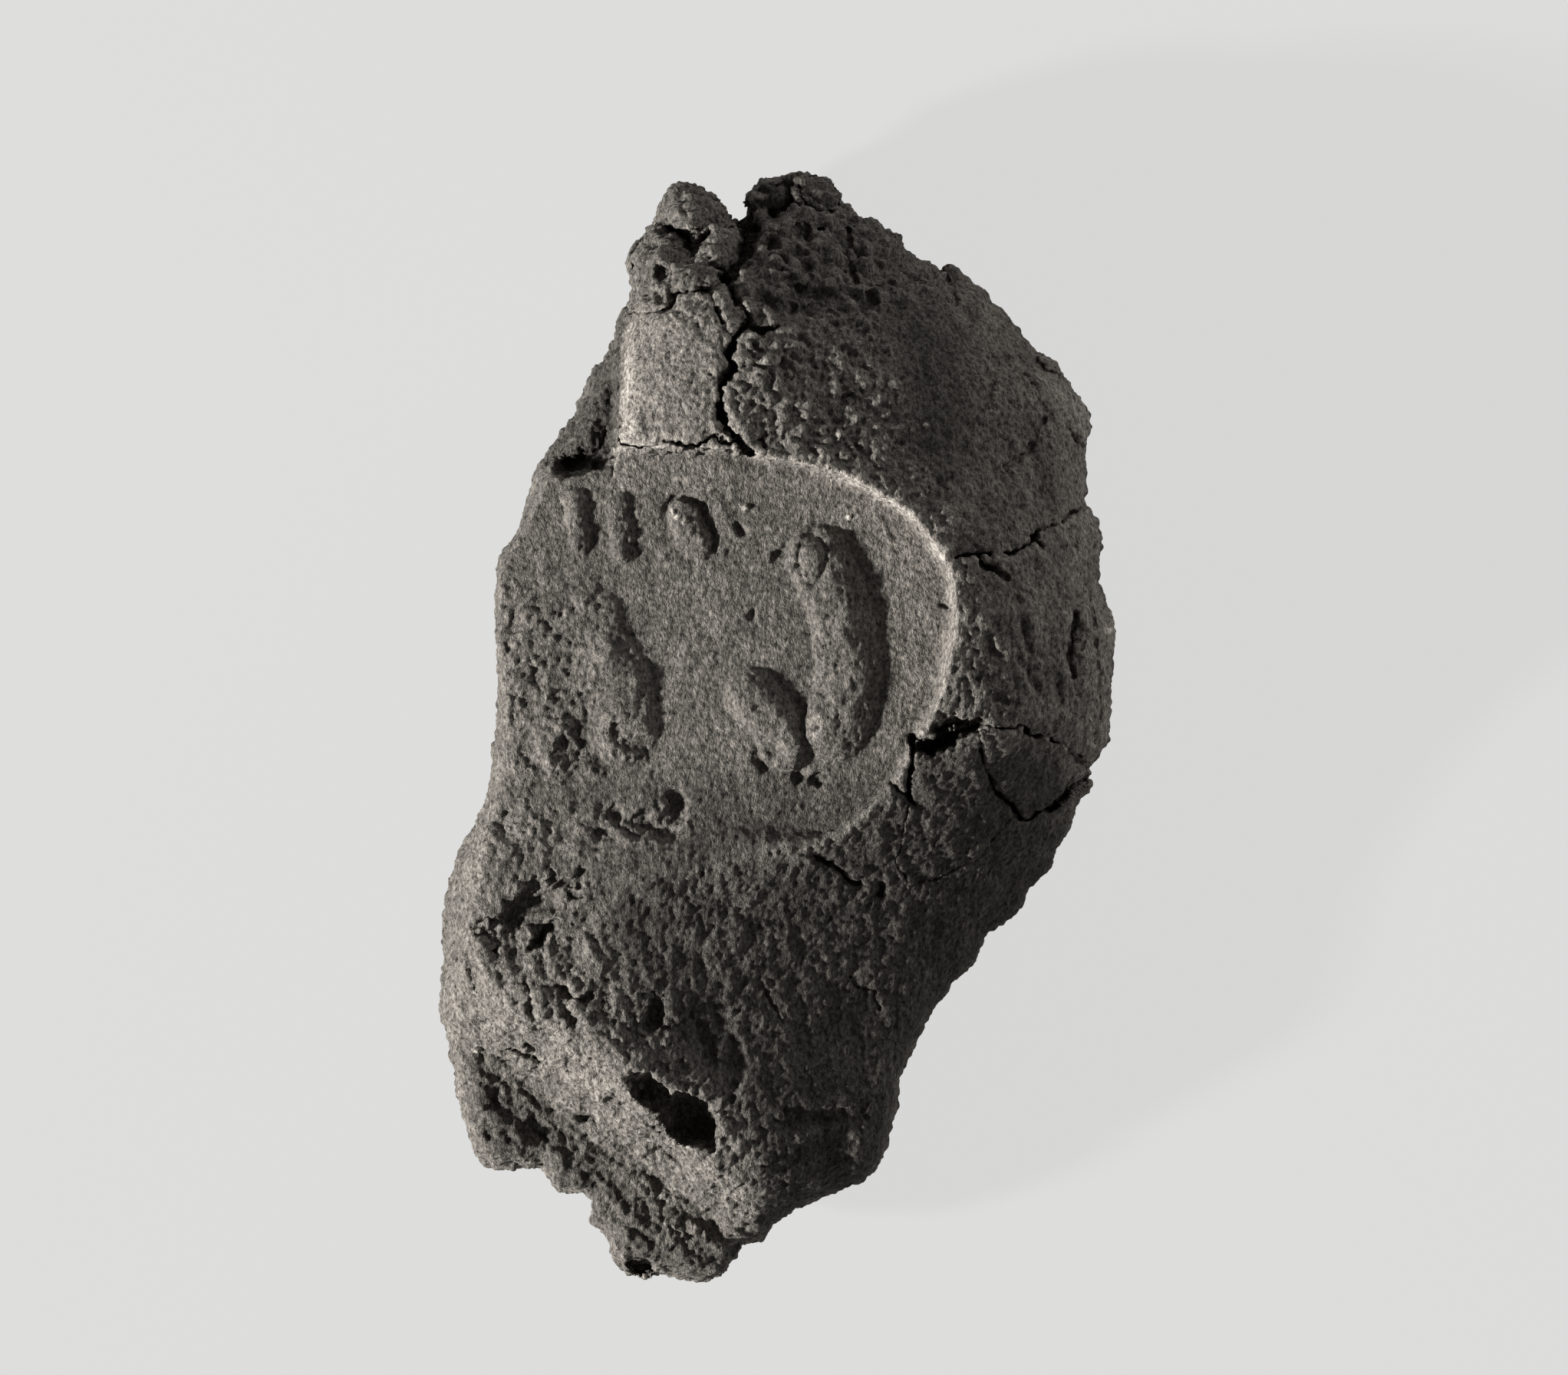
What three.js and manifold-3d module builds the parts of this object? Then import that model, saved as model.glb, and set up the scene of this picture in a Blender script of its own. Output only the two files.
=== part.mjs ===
// Clay bulla: a lump of fired clay that was pressed over a rope and stamped with an oval seal.
// It lies on its flat back. +Z points out of the stamped face, +Y to the cleft end, +X to the full shoulder.
// Lengths are millimetres, and angles are degrees.
// Places on the face are given as pixels of the reference view, which looks straight down on the stamped face.
// Every closed loop of pixels runs clockwise in that view.
import * as THREE from "three";
import { mergeVertices } from "three/addons/utils/BufferGeometryUtils.js";
import Module from "manifold-3d";

const wasm = await Module();
wasm.setup();

// Overall sizes
const bullaWidth = 30.3;
const bullaHeight = 50;
const crownHeight = 18.3;
const girthHeight = 7;

// The stamped field and its relief
const fieldDepth = 2.6;
const fieldTiltX = 1.6;
const fieldTiltY = 1.1;
const rimSlopeWidth = 0.7;
const reliefHeight = 0.75;

// The rope's impression across the lower end, which runs down towards the cord's right end
const ropeDiameter = 8;
const grooveHighFloorHeight = 12.1;
const grooveLowFloorHeight = 8.1;

// Breaks, cracks and hollows, as depths below the clay around them
const breakDepth = 3.1;
const breakSlotDepth = 1.9;
const cleftDepth = 6.4;
const crackDepth = 2.2;
const gapDepth = 3.6;
const hollowDepth = 2.4;
const pitDepth = 1.9;
const gapWidth = 0.9;
const crackWidth = 0.45;
const hairlineWidth = 0.34;

// The loose fragments: thickness over the seat, and the gap that parts them from the body
const knobThickness = 7;
const upperPlateThickness = 3.3;
const chipThickness = 1.5;
const shoulderPlateThickness = 3.1;
const lowerPlateThickness = 3.6;
const noduleThickness = 5.2;
const fragmentGap = 0.32;

// How far a cut runs past what it cuts
const overrun = 2;

// The silhouette in the reference view, from the top of the left knob
const outlinePixels = [
  [872, 238], [895, 232], [932, 248], [956, 276], [968, 256], [990, 231], [1045, 218], [1072, 226],
  [1094, 246], [1104, 268], [1128, 285], [1158, 296], [1200, 334], [1245, 347], [1292, 390], [1338, 442],
  [1382, 474], [1424, 552], [1415, 600], [1413, 655], [1435, 705], [1432, 760], [1456, 825], [1450, 900],
  [1446, 965], [1420, 1003], [1424, 1020], [1398, 1070], [1372, 1130], [1335, 1180], [1285, 1220],
  [1240, 1290], [1200, 1348], [1172, 1410], [1162, 1470], [1148, 1515], [1108, 1552], [1005, 1600],
  [965, 1628], [930, 1672], [888, 1675], [838, 1671], [800, 1650], [770, 1600], [760, 1560], [718, 1545],
  [700, 1522], [645, 1529], [615, 1490], [594, 1415], [583, 1345], [575, 1310], [580, 1230], [583, 1175],
  [610, 1098], [638, 1030], [650, 950], [650, 860], [648, 780], [662, 714], [692, 640], [705, 606],
  [745, 545], [765, 495], [802, 440], [820, 398], [818, 335], [845, 298], [862, 262],
];
const viewLowPixel = [575, 218];
const viewHighPixel = [1456, 1675];
const crownPixel = [965, 800];

// The lump's section in eight directions from +X round by +Y: how full it is beside a round one, and its
// girth's height
const roundPower = 2;
const fullnessShares = [1.6, 0.95, 1.1, 2, 10, 1.7, 0.8, 0.575];
const girthShares = [1, 1.06, 0.88, 1, 1.3, 1.12, 0.82, 0.8];
const crownRingShares = [0.13, 0.26, 0.38, 0.5, 0.61, 0.71, 0.8, 0.88, 0.94, 0.98, 1];
const undersideRingShares = [0.62, 0.71, 0.79, 0.86, 0.92, 0.96, 0.985];
const undersidePower = 2.2;
const outlineSteps = 112;
// How fast the outline's bumps fade towards the crown, and over how many steps each way they are evened out
const bumpPower = 5;
const evenSteps = 6;

// Within the silhouette the lump is a roof along a ridge. Each place on the ridge has its height, and how full
// the roof is to its left and to its right. Towards the silhouette the section above takes over.
const ridgePixels = [
  [955, 215], [950, 300], [950, 370], [950, 420], [952, 500], [957, 590], [955, 640], [950, 800], [930, 950],
  [900, 1050], [850, 1120], [800, 1180], [765, 1300], [790, 1420], [850, 1520], [880, 1600], [890, 1680],
];
const ridgeHeightShares = [
  0.44, 0.69, 0.82, 0.87, 0.92, 0.95, 0.97, 1, 0.97, 0.92, 0.89, 0.87, 0.85, 0.81, 0.71, 0.6, 0.44,
];
const leftRoofShares = [1, 1.5, 2.3, 2.5, 1.9, 1.5, 11, 12, 12, 7, 4.5, 3.5, 3, 2.5, 1.5, 1, 1];
const rightRoofShares = [
  0.8, 0.75, 0.75, 0.75, 0.75, 0.8, 1.05, 1.55, 1.3, 0.85, 0.65, 0.55, 0.53, 0.53, 0.55, 0.65, 0.8,
];
const roofEndPower = 12;
// The rows over which the silhouette's ends are evened out
const evenRowPixels = [-45, -30, -15, 0, 15, 30, 45];

// The seal's rim. Its left part ran off the clay.
const rimPixels = [
  [812, 583], [900, 585], [975, 592], [1050, 606], [1130, 635], [1195, 680], [1235, 735], [1243, 790],
  [1228, 900], [1200, 960], [1160, 1030], [1105, 1080], [1030, 1105], [930, 1135], [800, 1150],
  [700, 1142], [620, 1120], [540, 1040], [500, 900], [530, 720], [620, 620], [720, 590],
];
const fieldPixel = [900, 860];

// The relief that the seal raised: middle, half length and half width, turn from +X, and its height's share
const bosses = [
  { atPixel: [1098, 842], halfPixels: [146, 52], turn: 96, riseShare: 1 },
  { atPixel: [1006, 942], halfPixels: [66, 40], turn: -52, riseShare: 0.86 },
  { atPixel: [796, 908], halfPixels: [98, 56], turn: -62, riseShare: 0.74 },
  { atPixel: [741, 962], halfPixels: [34, 24], turn: -75, riseShare: 0.5 },
  { atPixel: [748, 690], halfPixels: [52, 15], turn: -86, riseShare: 0.5 },
  { atPixel: [806, 700], halfPixels: [50, 18], turn: -80, riseShare: 0.52 },
  { atPixel: [897, 697], halfPixels: [52, 32], turn: -66, riseShare: 0.56 },
  { atPixel: [1060, 727], halfPixels: [23, 12], turn: 88, riseShare: 0.62 },
  { atPixel: [842, 1062], halfPixels: [58, 20], turn: 24, riseShare: 0.42 },
];

// Hollows where straw and grit fell out: middle, half length and half width, turn from +X, and depth
const hollows = [
  { atPixel: [873, 1440], halfPixels: [64, 24], turn: -40, depth: hollowDepth },
  { atPixel: [705, 1205], halfPixels: [66, 20], turn: 42, depth: pitDepth },
  { atPixel: [880, 1322], halfPixels: [26, 13], turn: 62, depth: pitDepth },
  { atPixel: [752, 1305], halfPixels: [24, 11], turn: -50, depth: pitDepth },
  { atPixel: [624, 1285], halfPixels: [26, 11], turn: -58, depth: pitDepth },
];

// Where the skin broke away left of the field, and the slot under the field's edge there
const breakPixels = [
  [824, 392], [814, 470], [808, 540], [802, 596], [772, 606], [742, 622], [700, 612], [640, 600],
  [640, 380],
];
const breakSlot = { atPixel: [752, 607], halfPixels: [40, 10], turn: 4 };

// The cleft between the left knob and the crown, from the notch down to where it forks
const forkPixel = [944, 374];
const cleftPixels = [
  [957, 150], [1046, 150], [1046, 256], [1006, 276], [996, 312], [976, 344], [958, 366], forkPixel,
  [949, 352], [960, 330], [963, 300], [958, 272],
];

// Cracks, each from its wide end to its hairline end
const mainCrack = {
  linePixels: [
    [944, 368], [962, 392], [973, 414], [966, 434], [954, 458], [952, 480], [942, 505], [939, 530],
    [944, 550], [956, 570], [976, 590],
  ],
  width: crackWidth,
  depth: crackDepth,
};
const shoulderCrack = {
  linePixels: [[1420, 656], [1384, 680], [1356, 693], [1326, 718], [1268, 723], [1240, 732]],
  width: crackWidth,
  depth: crackDepth,
};
const lowerCrack = {
  linePixels: [[1062, 1114], [1086, 1126], [1104, 1146], [1150, 1152]],
  width: crackWidth,
  depth: crackDepth,
};
const plateGap = {
  linePixels: [[1216, 957], [1245, 944], [1284, 946], [1330, 944], [1362, 954], [1392, 974]],
  width: gapWidth,
  depth: gapDepth,
};

// The fragments, as they part from the body along the cracks, each with a place where its thickness holds
const knobPixel = [880, 330];
const fragments = [
  {
    name: "knob_tip",
    atPixel: knobPixel,
    thickness: knobThickness,
    loopPixels: [
      [800, 200], [975, 200], [975, 292], [942, 294], [922, 304], [908, 318], [896, 306], [876, 296],
      [862, 284], [800, 286],
    ],
  },
  {
    name: "knob_base",
    atPixel: knobPixel,
    thickness: knobThickness,
    loopPixels: [
      [944, 366], [922, 380], [898, 380], [880, 398], [856, 402], [826, 404], [780, 404], [780, 297],
      [858, 295], [872, 307], [894, 318], [908, 331], [926, 315], [944, 305], [975, 303], [975, 340],
    ],
  },
  {
    name: "upper_left_plate",
    atPixel: [870, 490],
    thickness: upperPlateThickness,
    loopPixels: [
      [814, 412], [858, 410], [884, 405], [902, 389], [922, 391], [930, 410], [938, 430], [952, 440],
      [946, 458], [945, 478], [935, 502], [932, 530], [937, 552], [930, 572], [905, 576], [850, 575],
      [800, 574], [800, 500], [800, 450],
    ],
  },
  {
    name: "fork_chip",
    atPixel: [945, 405],
    thickness: chipThickness,
    loopPixels: [[931, 384], [941, 382], [953, 394], [962, 412], [956, 428], [946, 426], [938, 408]],
  },
  {
    name: "shoulder_plate",
    atPixel: [1360, 1010],
    thickness: shoulderPlateThickness,
    loopPixels: [
      [1292, 958], [1330, 954], [1362, 966], [1392, 986], [1440, 1004], [1440, 1018], [1402, 1026],
      [1374, 1046], [1340, 1066], [1316, 1042], [1298, 1018], [1284, 984],
    ],
  },
  {
    name: "lower_right_plate",
    atPixel: [1240, 1050],
    thickness: lowerPlateThickness,
    loopPixels: [
      [1212, 976], [1244, 956], [1272, 960], [1276, 992], [1288, 1022], [1304, 1048], [1330, 1074],
      [1312, 1100], [1284, 1120], [1234, 1146], [1186, 1156], [1170, 1120], [1192, 1050], [1196, 1000],
    ],
  },
];

// The pebble of clay on the tip
const nodule = { atPixel: [1071, 248], halfPixels: [30, 28], turn: 0 };

const toRadians = THREE.MathUtils.degToRad;

// A pixel of the reference view as a point on the plan, with the part's middle at the origin.
function plan([px, py]) {
  const acrossShare = (px - viewLowPixel[0]) / (viewHighPixel[0] - viewLowPixel[0]) - 1 / 2;
  const upShare = 1 / 2 - (py - viewLowPixel[1]) / (viewHighPixel[1] - viewLowPixel[1]);
  return new THREE.Vector2(acrossShare * bullaWidth, upShare * bullaHeight);
}

const pixelSize = bullaHeight / (viewHighPixel[1] - viewLowPixel[1]);
const outline = outlinePixels.map(plan);
const ridge = ridgePixels.map(plan);
const crownPoint = plan(crownPixel);
const fieldPoint = plan(fieldPixel);
const fieldHeight = crownHeight - fieldDepth;
const breakFloorHeight = fieldHeight - breakDepth;

// A closed geometry as a solid that can be joined and cut.
function solidOf(geometry) {
  const bare = geometry.clone();
  bare.deleteAttribute("normal");
  bare.deleteAttribute("uv");
  const merged = mergeVertices(bare);
  const triVerts = new Uint32Array(merged.index.array);
  return new wasm.Manifold(
    new wasm.Mesh({ numProp: 3, vertProperties: merged.attributes.position.array, triVerts }),
  );
}

function geometryOf(solid) {
  const mesh = solid.getMesh();
  const geometry = new THREE.BufferGeometry();
  geometry.setAttribute("position", new THREE.BufferAttribute(mesh.vertProperties, mesh.numProp));
  geometry.setIndex(new THREE.BufferAttribute(mesh.triVerts, 1));
  geometry.computeVertexNormals();
  return geometry;
}

// A skin over rings of equally many points, from the lowest ring to the highest, closed by a fan at each end.
function skinOf(rings, lowPoint, highPoint) {
  const count = rings[0].length;
  const points = [...rings.flat(), lowPoint, highPoint];
  const lowIndex = rings.length * count;
  const highIndex = lowIndex + 1;
  const topRing = lowIndex - count;
  const faces = [];
  for (let i = 0; i < count; i++) {
    const next = (i + 1) % count;
    faces.push(lowIndex, next, i);
    for (let low = 0; low < topRing; low += count) {
      const high = low + count;
      faces.push(low + i, low + next, high + next);
      faces.push(low + i, high + next, high + i);
    }
    faces.push(topRing + i, topRing + next, highIndex);
  }
  const geometry = new THREE.BufferGeometry().setFromPoints(points);
  geometry.setIndex(faces);
  return geometry;
}

// How far the outline lies from the crown in one direction.
function reach(angle) {
  const ray = new THREE.Vector2(Math.cos(angle), Math.sin(angle));
  let farthest = 0;
  outline.forEach((point, i) => {
    const a = point.clone().sub(crownPoint);
    const edge = outline[(i + 1) % outline.length].clone().sub(point);
    const turn = ray.cross(edge);
    const share = a.cross(ray) / turn;
    if (turn !== 0 && share >= 0 && share <= 1) farthest = Math.max(farthest, a.cross(edge) / turn);
  });
  return farthest;
}

// A value that eases from one of eight directions to the next.
function byDirection(values, angle) {
  const turns = (angle / (2 * Math.PI)) * values.length;
  const from = Math.floor(turns);
  const share = (1 - Math.cos((turns - from) * Math.PI)) / 2;
  return values[from % values.length] * (1 - share) + values[(from + 1) % values.length] * share;
}

// A value from a table along the ridge, at a height up the plan.
function alongRidge(values, y) {
  const after = ridge.findIndex((point) => point.y < y);
  if (after < 1) return after < 0 ? values.at(-1) : values[0];
  return THREE.MathUtils.mapLinear(y, ridge[after - 1].y, ridge[after].y, values[after - 1], values[after]);
}

// The silhouette's left and right end across the plan, evened out over the rows around one.
function rowEnds(y) {
  const rows = evenRowPixels.map((pixels) => {
    const row = y + pixels * pixelSize;
    return outline.flatMap((from, i) => {
      const to = outline[(i + 1) % outline.length];
      const share = (row - from.y) / (to.y - from.y);
      return share >= 0 && share < 1 ? [THREE.MathUtils.lerp(from.x, to.x, share)] : [];
    });
  }).filter((crossings) => crossings.length > 1);
  if (rows.length === 0) return [outline[0].x, outline[0].x];
  const mean = (values) => values.reduce((sum, value) => sum + value) / values.length;
  return [mean(rows.map((xs) => Math.min(...xs))), mean(rows.map((xs) => Math.max(...xs)))];
}

// How far the roof lies below the crown at a point of the plan, from 0 at the crown to 1 at the girth.
function roofFall({ x, y }) {
  const [left, right] = rowEnds(y);
  const middle = alongRidge(ridge.map((point) => point.x), y);
  const [end, shares] = x < middle ? [left, leftRoofShares] : [right, rightRoofShares];
  const share = THREE.MathUtils.clamp((x - middle) / (end - middle), 0, 1);
  const ridgeHeight = crownHeight * alongRidge(ridgeHeightShares, y);
  const riseShare = (ridgeHeight - girthHeight) / (crownHeight - girthHeight);
  return 1 - (1 - share ** (roundPower * alongRidge(shares, y))) * riseShare ** 2;
}

// The lump's upper and lower height at a point, in a direction from the crown and at a share of the way to the
// silhouette.
function upperHeight(point, angle, share) {
  const girth = girthHeight * byDirection(girthShares, angle);
  const endFall = share ** (roundPower * byDirection(fullnessShares, angle));
  const fall = THREE.MathUtils.lerp(roofFall(point), endFall, share ** roofEndPower);
  return girth + (crownHeight - girth) * Math.sqrt(1 - fall);
}

function undersideHeight(point, angle, share) {
  const girth = girthHeight * byDirection(girthShares, angle);
  const outwards = (share - undersideRingShares[0]) / (1 - undersideRingShares[0]);
  return girth * (1 - Math.sqrt(1 - outwards ** undersidePower));
}

// The lump's upper height over a pixel.
function clayHeight(pixel) {
  const point = plan(pixel);
  const step = point.clone().sub(crownPoint);
  const angle = step.angle();
  return upperHeight(point, angle, Math.min(step.length() / reach(angle), 1));
}

// The lump as it was pressed: a flat back, a rounded underside up to the girth, and a crown.
function lump() {
  const angles = Array.from({ length: outlineSteps }, (_, i) => (i / outlineSteps) * 2 * Math.PI);
  const reaches = angles.map(reach);
  const evenReaches = reaches.map((_, i) => {
    let sum = 0;
    for (let step = -evenSteps; step <= evenSteps; step++) {
      sum += reaches[(i + step + outlineSteps) % outlineSteps];
    }
    return sum / (2 * evenSteps + 1);
  });
  const ring = (share, heightAt) =>
    angles.map((angle, i) => {
      const bump = (reaches[i] - evenReaches[i]) * share ** bumpPower;
      const radius = evenReaches[i] * share + bump;
      const way = new THREE.Vector2(Math.cos(angle), Math.sin(angle));
      const point = crownPoint.clone().addScaledVector(way, radius);
      return new THREE.Vector3(point.x, point.y, heightAt(point, angle, share));
    });
  const rings = [
    ...undersideRingShares.map((share) => ring(share, undersideHeight)),
    ...crownRingShares.toReversed().map((share) => ring(share, upperHeight)),
  ];
  const back = new THREE.Vector3(crownPoint.x, crownPoint.y, 0);
  const crown = new THREE.Vector3(crownPoint.x, crownPoint.y, crownHeight);
  return solidOf(skinOf(rings, back, crown));
}

// The side that lies to the left of a step.
function leftOf(from, to) {
  const step = to.clone().sub(from).normalize();
  return new THREE.Vector2(-step.y, step.x);
}

// One point of a line or a loop, moved to the left of its way. A clockwise loop grows so.
function shiftedPoint(points, i, distance, closed) {
  const last = points.length - 1;
  const before = points[closed ? (i + last) % points.length : Math.max(i - 1, 0)];
  const after = points[closed ? (i + 1) % points.length : Math.min(i + 1, last)];
  const sides = [[before, points[i]], [points[i], after]]
    .filter(([from, to]) => !from.equals(to))
    .map(([from, to]) => leftOf(from, to));
  const side = sides[0].clone().add(sides.at(-1)).normalize();
  const square = Math.max(side.dot(sides[0]), Math.SQRT1_2);
  return points[i].clone().addScaledVector(side, distance / square);
}

function grown(loop, distance) {
  return loop.map((_, i) => shiftedPoint(loop, i, distance, true));
}

// An upright prism over a loop of plan points.
function prism(loop, lowHeight, highHeight) {
  const shape = new THREE.Shape(loop);
  const geometry = new THREE.ExtrudeGeometry(shape, { depth: highHeight - lowHeight, bevelEnabled: false });
  return solidOf(geometry.translate(0, 0, lowHeight));
}

function cutFrom(lowHeight, loop) {
  return prism(loop, lowHeight, crownHeight + overrun);
}

// A crack's slit, which goes down with the surface and narrows to a hairline.
function slit({ linePixels, width, depth }) {
  const line = linePixels.map(plan);
  const halfAt = (i) => THREE.MathUtils.lerp(width, hairlineWidth, i / (line.length - 1)) / 2;
  const left = line.map((_, i) => shiftedPoint(line, i, halfAt(i), false));
  const right = line.map((_, i) => shiftedPoint(line, i, -halfAt(i), false));
  const floors = linePixels.map((pixel) => clayHeight(pixel) - depth);
  return floors.slice(1)
    .map((floor, i) => cutFrom(Math.min(floor, floors[i]), [left[i], left[i + 1], right[i + 1], right[i]]))
    .reduce((all, part) => all.add(part));
}

// An ellipsoid that lies on the plan, grown by a gap on every side.
function egg({ atPixel, halfPixels, turn }, halfThickness, height, gap = 0) {
  const middle = plan(atPixel);
  const [halfLength, halfWidth] = halfPixels.map((half) => half * pixelSize);
  const geometry = new THREE.SphereGeometry(1, 18, 10);
  geometry.rotateX(Math.PI / 2);
  geometry.scale(halfLength + gap, halfWidth + gap, halfThickness + gap);
  geometry.rotateZ(toRadians(turn));
  return geometry.translate(middle.x, middle.y, height);
}

// The stamped field leans a little, about its middle.
function onField(geometry) {
  geometry.translate(-fieldPoint.x, -fieldPoint.y, -fieldHeight);
  geometry.rotateY(toRadians(fieldTiltY));
  geometry.rotateX(toRadians(fieldTiltX));
  return geometry.translate(fieldPoint.x, fieldPoint.y, fieldHeight);
}

// The seal as a block with a sloping rim, which is pressed into the lump.
function sealBlock() {
  const corners = rimPixels.map(plan).map(({ x, y }) => new THREE.Vector3(x, y, 0));
  const curve = new THREE.CatmullRomCurve3(corners, true, "catmullrom", 1 / 2);
  const rim = curve.getPoints(rimPixels.length * 2).slice(0, -1).map(({ x, y }) => new THREE.Vector2(x, y));
  const topHeight = crownHeight + overrun;
  const ring = (grow, height) =>
    grown(rim, grow).map(({ x, y }) => new THREE.Vector3(x, y, height)).reverse();
  const rings = [
    ring(-rimSlopeWidth, fieldHeight), ring(0, fieldHeight + fieldDepth / 2), ring(0, topHeight),
  ];
  const low = new THREE.Vector3(fieldPoint.x, fieldPoint.y, fieldHeight);
  const high = new THREE.Vector3(fieldPoint.x, fieldPoint.y, topHeight);
  return solidOf(onField(skinOf(rings, low, high)));
}

// The rope that lay across the lower end, as the cylinder that its impression follows. The pixels are the ends of
// the impression's lowest line.
const ropePixels = [[534, 1372], [974, 1689]];
function rope() {
  const floorHeights = [grooveHighFloorHeight, grooveLowFloorHeight];
  const [from, to] = ropePixels.map((pixel, i) => {
    const { x, y } = plan(pixel);
    return new THREE.Vector3(x, y, floorHeights[i] + ropeDiameter / 2);
  });
  const axis = to.clone().sub(from);
  const geometry = new THREE.CylinderGeometry(ropeDiameter / 2, ropeDiameter / 2, axis.length() * 2, 40);
  const turn = new THREE.Quaternion().setFromUnitVectors(new THREE.Vector3(0, 1, 0), axis.normalize());
  geometry.applyQuaternion(turn);
  geometry.translate((from.x + to.x) / 2, (from.y + to.y) / 2, (from.z + to.z) / 2);
  return solidOf(geometry);
}

// The whole lump, with what was pressed into it and what broke or fell out of it
function stampedClay() {
  let clay = lump()
    .subtract(cutFrom(breakFloorHeight, breakPixels.map(plan)))
    .subtract(solidOf(egg(breakSlot, breakSlotDepth, breakFloorHeight)))
    .subtract(rope())
    .subtract(sealBlock());
  bosses.forEach((boss) => {
    clay = clay.add(solidOf(onField(egg(boss, boss.riseShare * reliefHeight, fieldHeight))));
  });
  hollows.forEach((hollow) => {
    clay = clay.subtract(solidOf(egg(hollow, hollow.depth, clayHeight(hollow.atPixel))));
  });
  return clay.subtract(cutFrom(clayHeight(forkPixel) - cleftDepth, cleftPixels.map(plan)));
}

const noduleHeight = clayHeight(nodule.atPixel);
const seatHeight = ({ atPixel, thickness }) => clayHeight(atPixel) - thickness;
const clay = stampedClay();
const cracks = [mainCrack, shoulderCrack, lowerCrack, plateGap];

// The body is what stays when the fragments' sockets and the cracks are cut out of the lump.
let body = clay.subtract(solidOf(egg(nodule, noduleThickness / 2, noduleHeight, fragmentGap)));
fragments.forEach((fragment) => {
  const socket = grown(fragment.loopPixels.map(plan), fragmentGap);
  body = body.subtract(cutFrom(seatHeight(fragment) - fragmentGap, socket));
});
cracks.forEach((crack) => {
  body = body.subtract(slit(crack));
});

const firedClay = new THREE.MeshStandardMaterial({ color: 0x6e6a64, roughness: 0.95, metalness: 0 });
const bulla = new THREE.Group();

function addPiece(name, solid) {
  const mesh = new THREE.Mesh(geometryOf(solid), firedClay.clone());
  mesh.name = name;
  bulla.add(mesh);
}

addPiece("clay_body", body);
fragments.forEach((fragment) => {
  const above = cutFrom(seatHeight(fragment), fragment.loopPixels.map(plan));
  addPiece(fragment.name, clay.intersect(above));
});
addPiece("top_nodule", clay.intersect(solidOf(egg(nodule, noduleThickness / 2, noduleHeight))));

export default bulla;
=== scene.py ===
"""Clay bulla: a lump of fired clay, pressed over a rope and stamped with an oval seal, cracked and crumbly.

The clay is sculpted as a volume in millimetres, cut into the body and its loose fragments, and skinned. Fine
relief is then pressed into the skin. Places on the face are pixels of the reference view, which looks
straight down on the stamped face. Blender's objects are in metres.
"""

import itertools
import math

import bpy
import numpy as np
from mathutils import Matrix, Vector


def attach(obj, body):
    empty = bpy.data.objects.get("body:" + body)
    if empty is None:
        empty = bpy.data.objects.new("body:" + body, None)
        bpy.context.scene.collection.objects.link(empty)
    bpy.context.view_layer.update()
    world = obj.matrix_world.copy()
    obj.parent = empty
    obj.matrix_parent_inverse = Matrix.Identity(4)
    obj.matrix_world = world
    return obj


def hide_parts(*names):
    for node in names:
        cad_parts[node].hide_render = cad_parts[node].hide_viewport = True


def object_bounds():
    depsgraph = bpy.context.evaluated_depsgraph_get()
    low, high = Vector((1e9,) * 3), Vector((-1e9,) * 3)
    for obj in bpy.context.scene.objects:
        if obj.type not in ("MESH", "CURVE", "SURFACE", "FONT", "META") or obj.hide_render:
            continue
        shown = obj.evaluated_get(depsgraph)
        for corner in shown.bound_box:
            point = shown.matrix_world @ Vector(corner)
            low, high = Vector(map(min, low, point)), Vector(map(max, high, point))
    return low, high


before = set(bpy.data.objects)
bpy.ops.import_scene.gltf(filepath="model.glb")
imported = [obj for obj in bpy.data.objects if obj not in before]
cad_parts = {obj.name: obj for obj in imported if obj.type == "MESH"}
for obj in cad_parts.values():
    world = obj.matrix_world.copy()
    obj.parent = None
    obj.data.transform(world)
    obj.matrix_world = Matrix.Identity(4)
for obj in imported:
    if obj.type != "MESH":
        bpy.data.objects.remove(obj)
cad_low, cad_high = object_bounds()

METRES_PER_MM = 0.001
VOXEL = 0.09
MARGIN = 0.6

# The frame in millimetres
LOW = np.array(cad_low) / METRES_PER_MM
HIGH = np.array(cad_high) / METRES_PER_MM

# The reference view: the pixels of the silhouette's box, the whole picture, and one pixel in millimetres
VIEW_LOW = (575, 218)
VIEW_HIGH = (1456, 1675)
PICTURE = (2044, 1792)
PIXEL = (HIGH[1] - LOW[1]) / (VIEW_HIGH[1] - VIEW_LOW[1])

# Heights of the lump as it was pressed, of its girth, and of the stamped field's middle
CROWN = 18.3
GIRTH = 7.0
FIELD = 15.7

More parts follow.
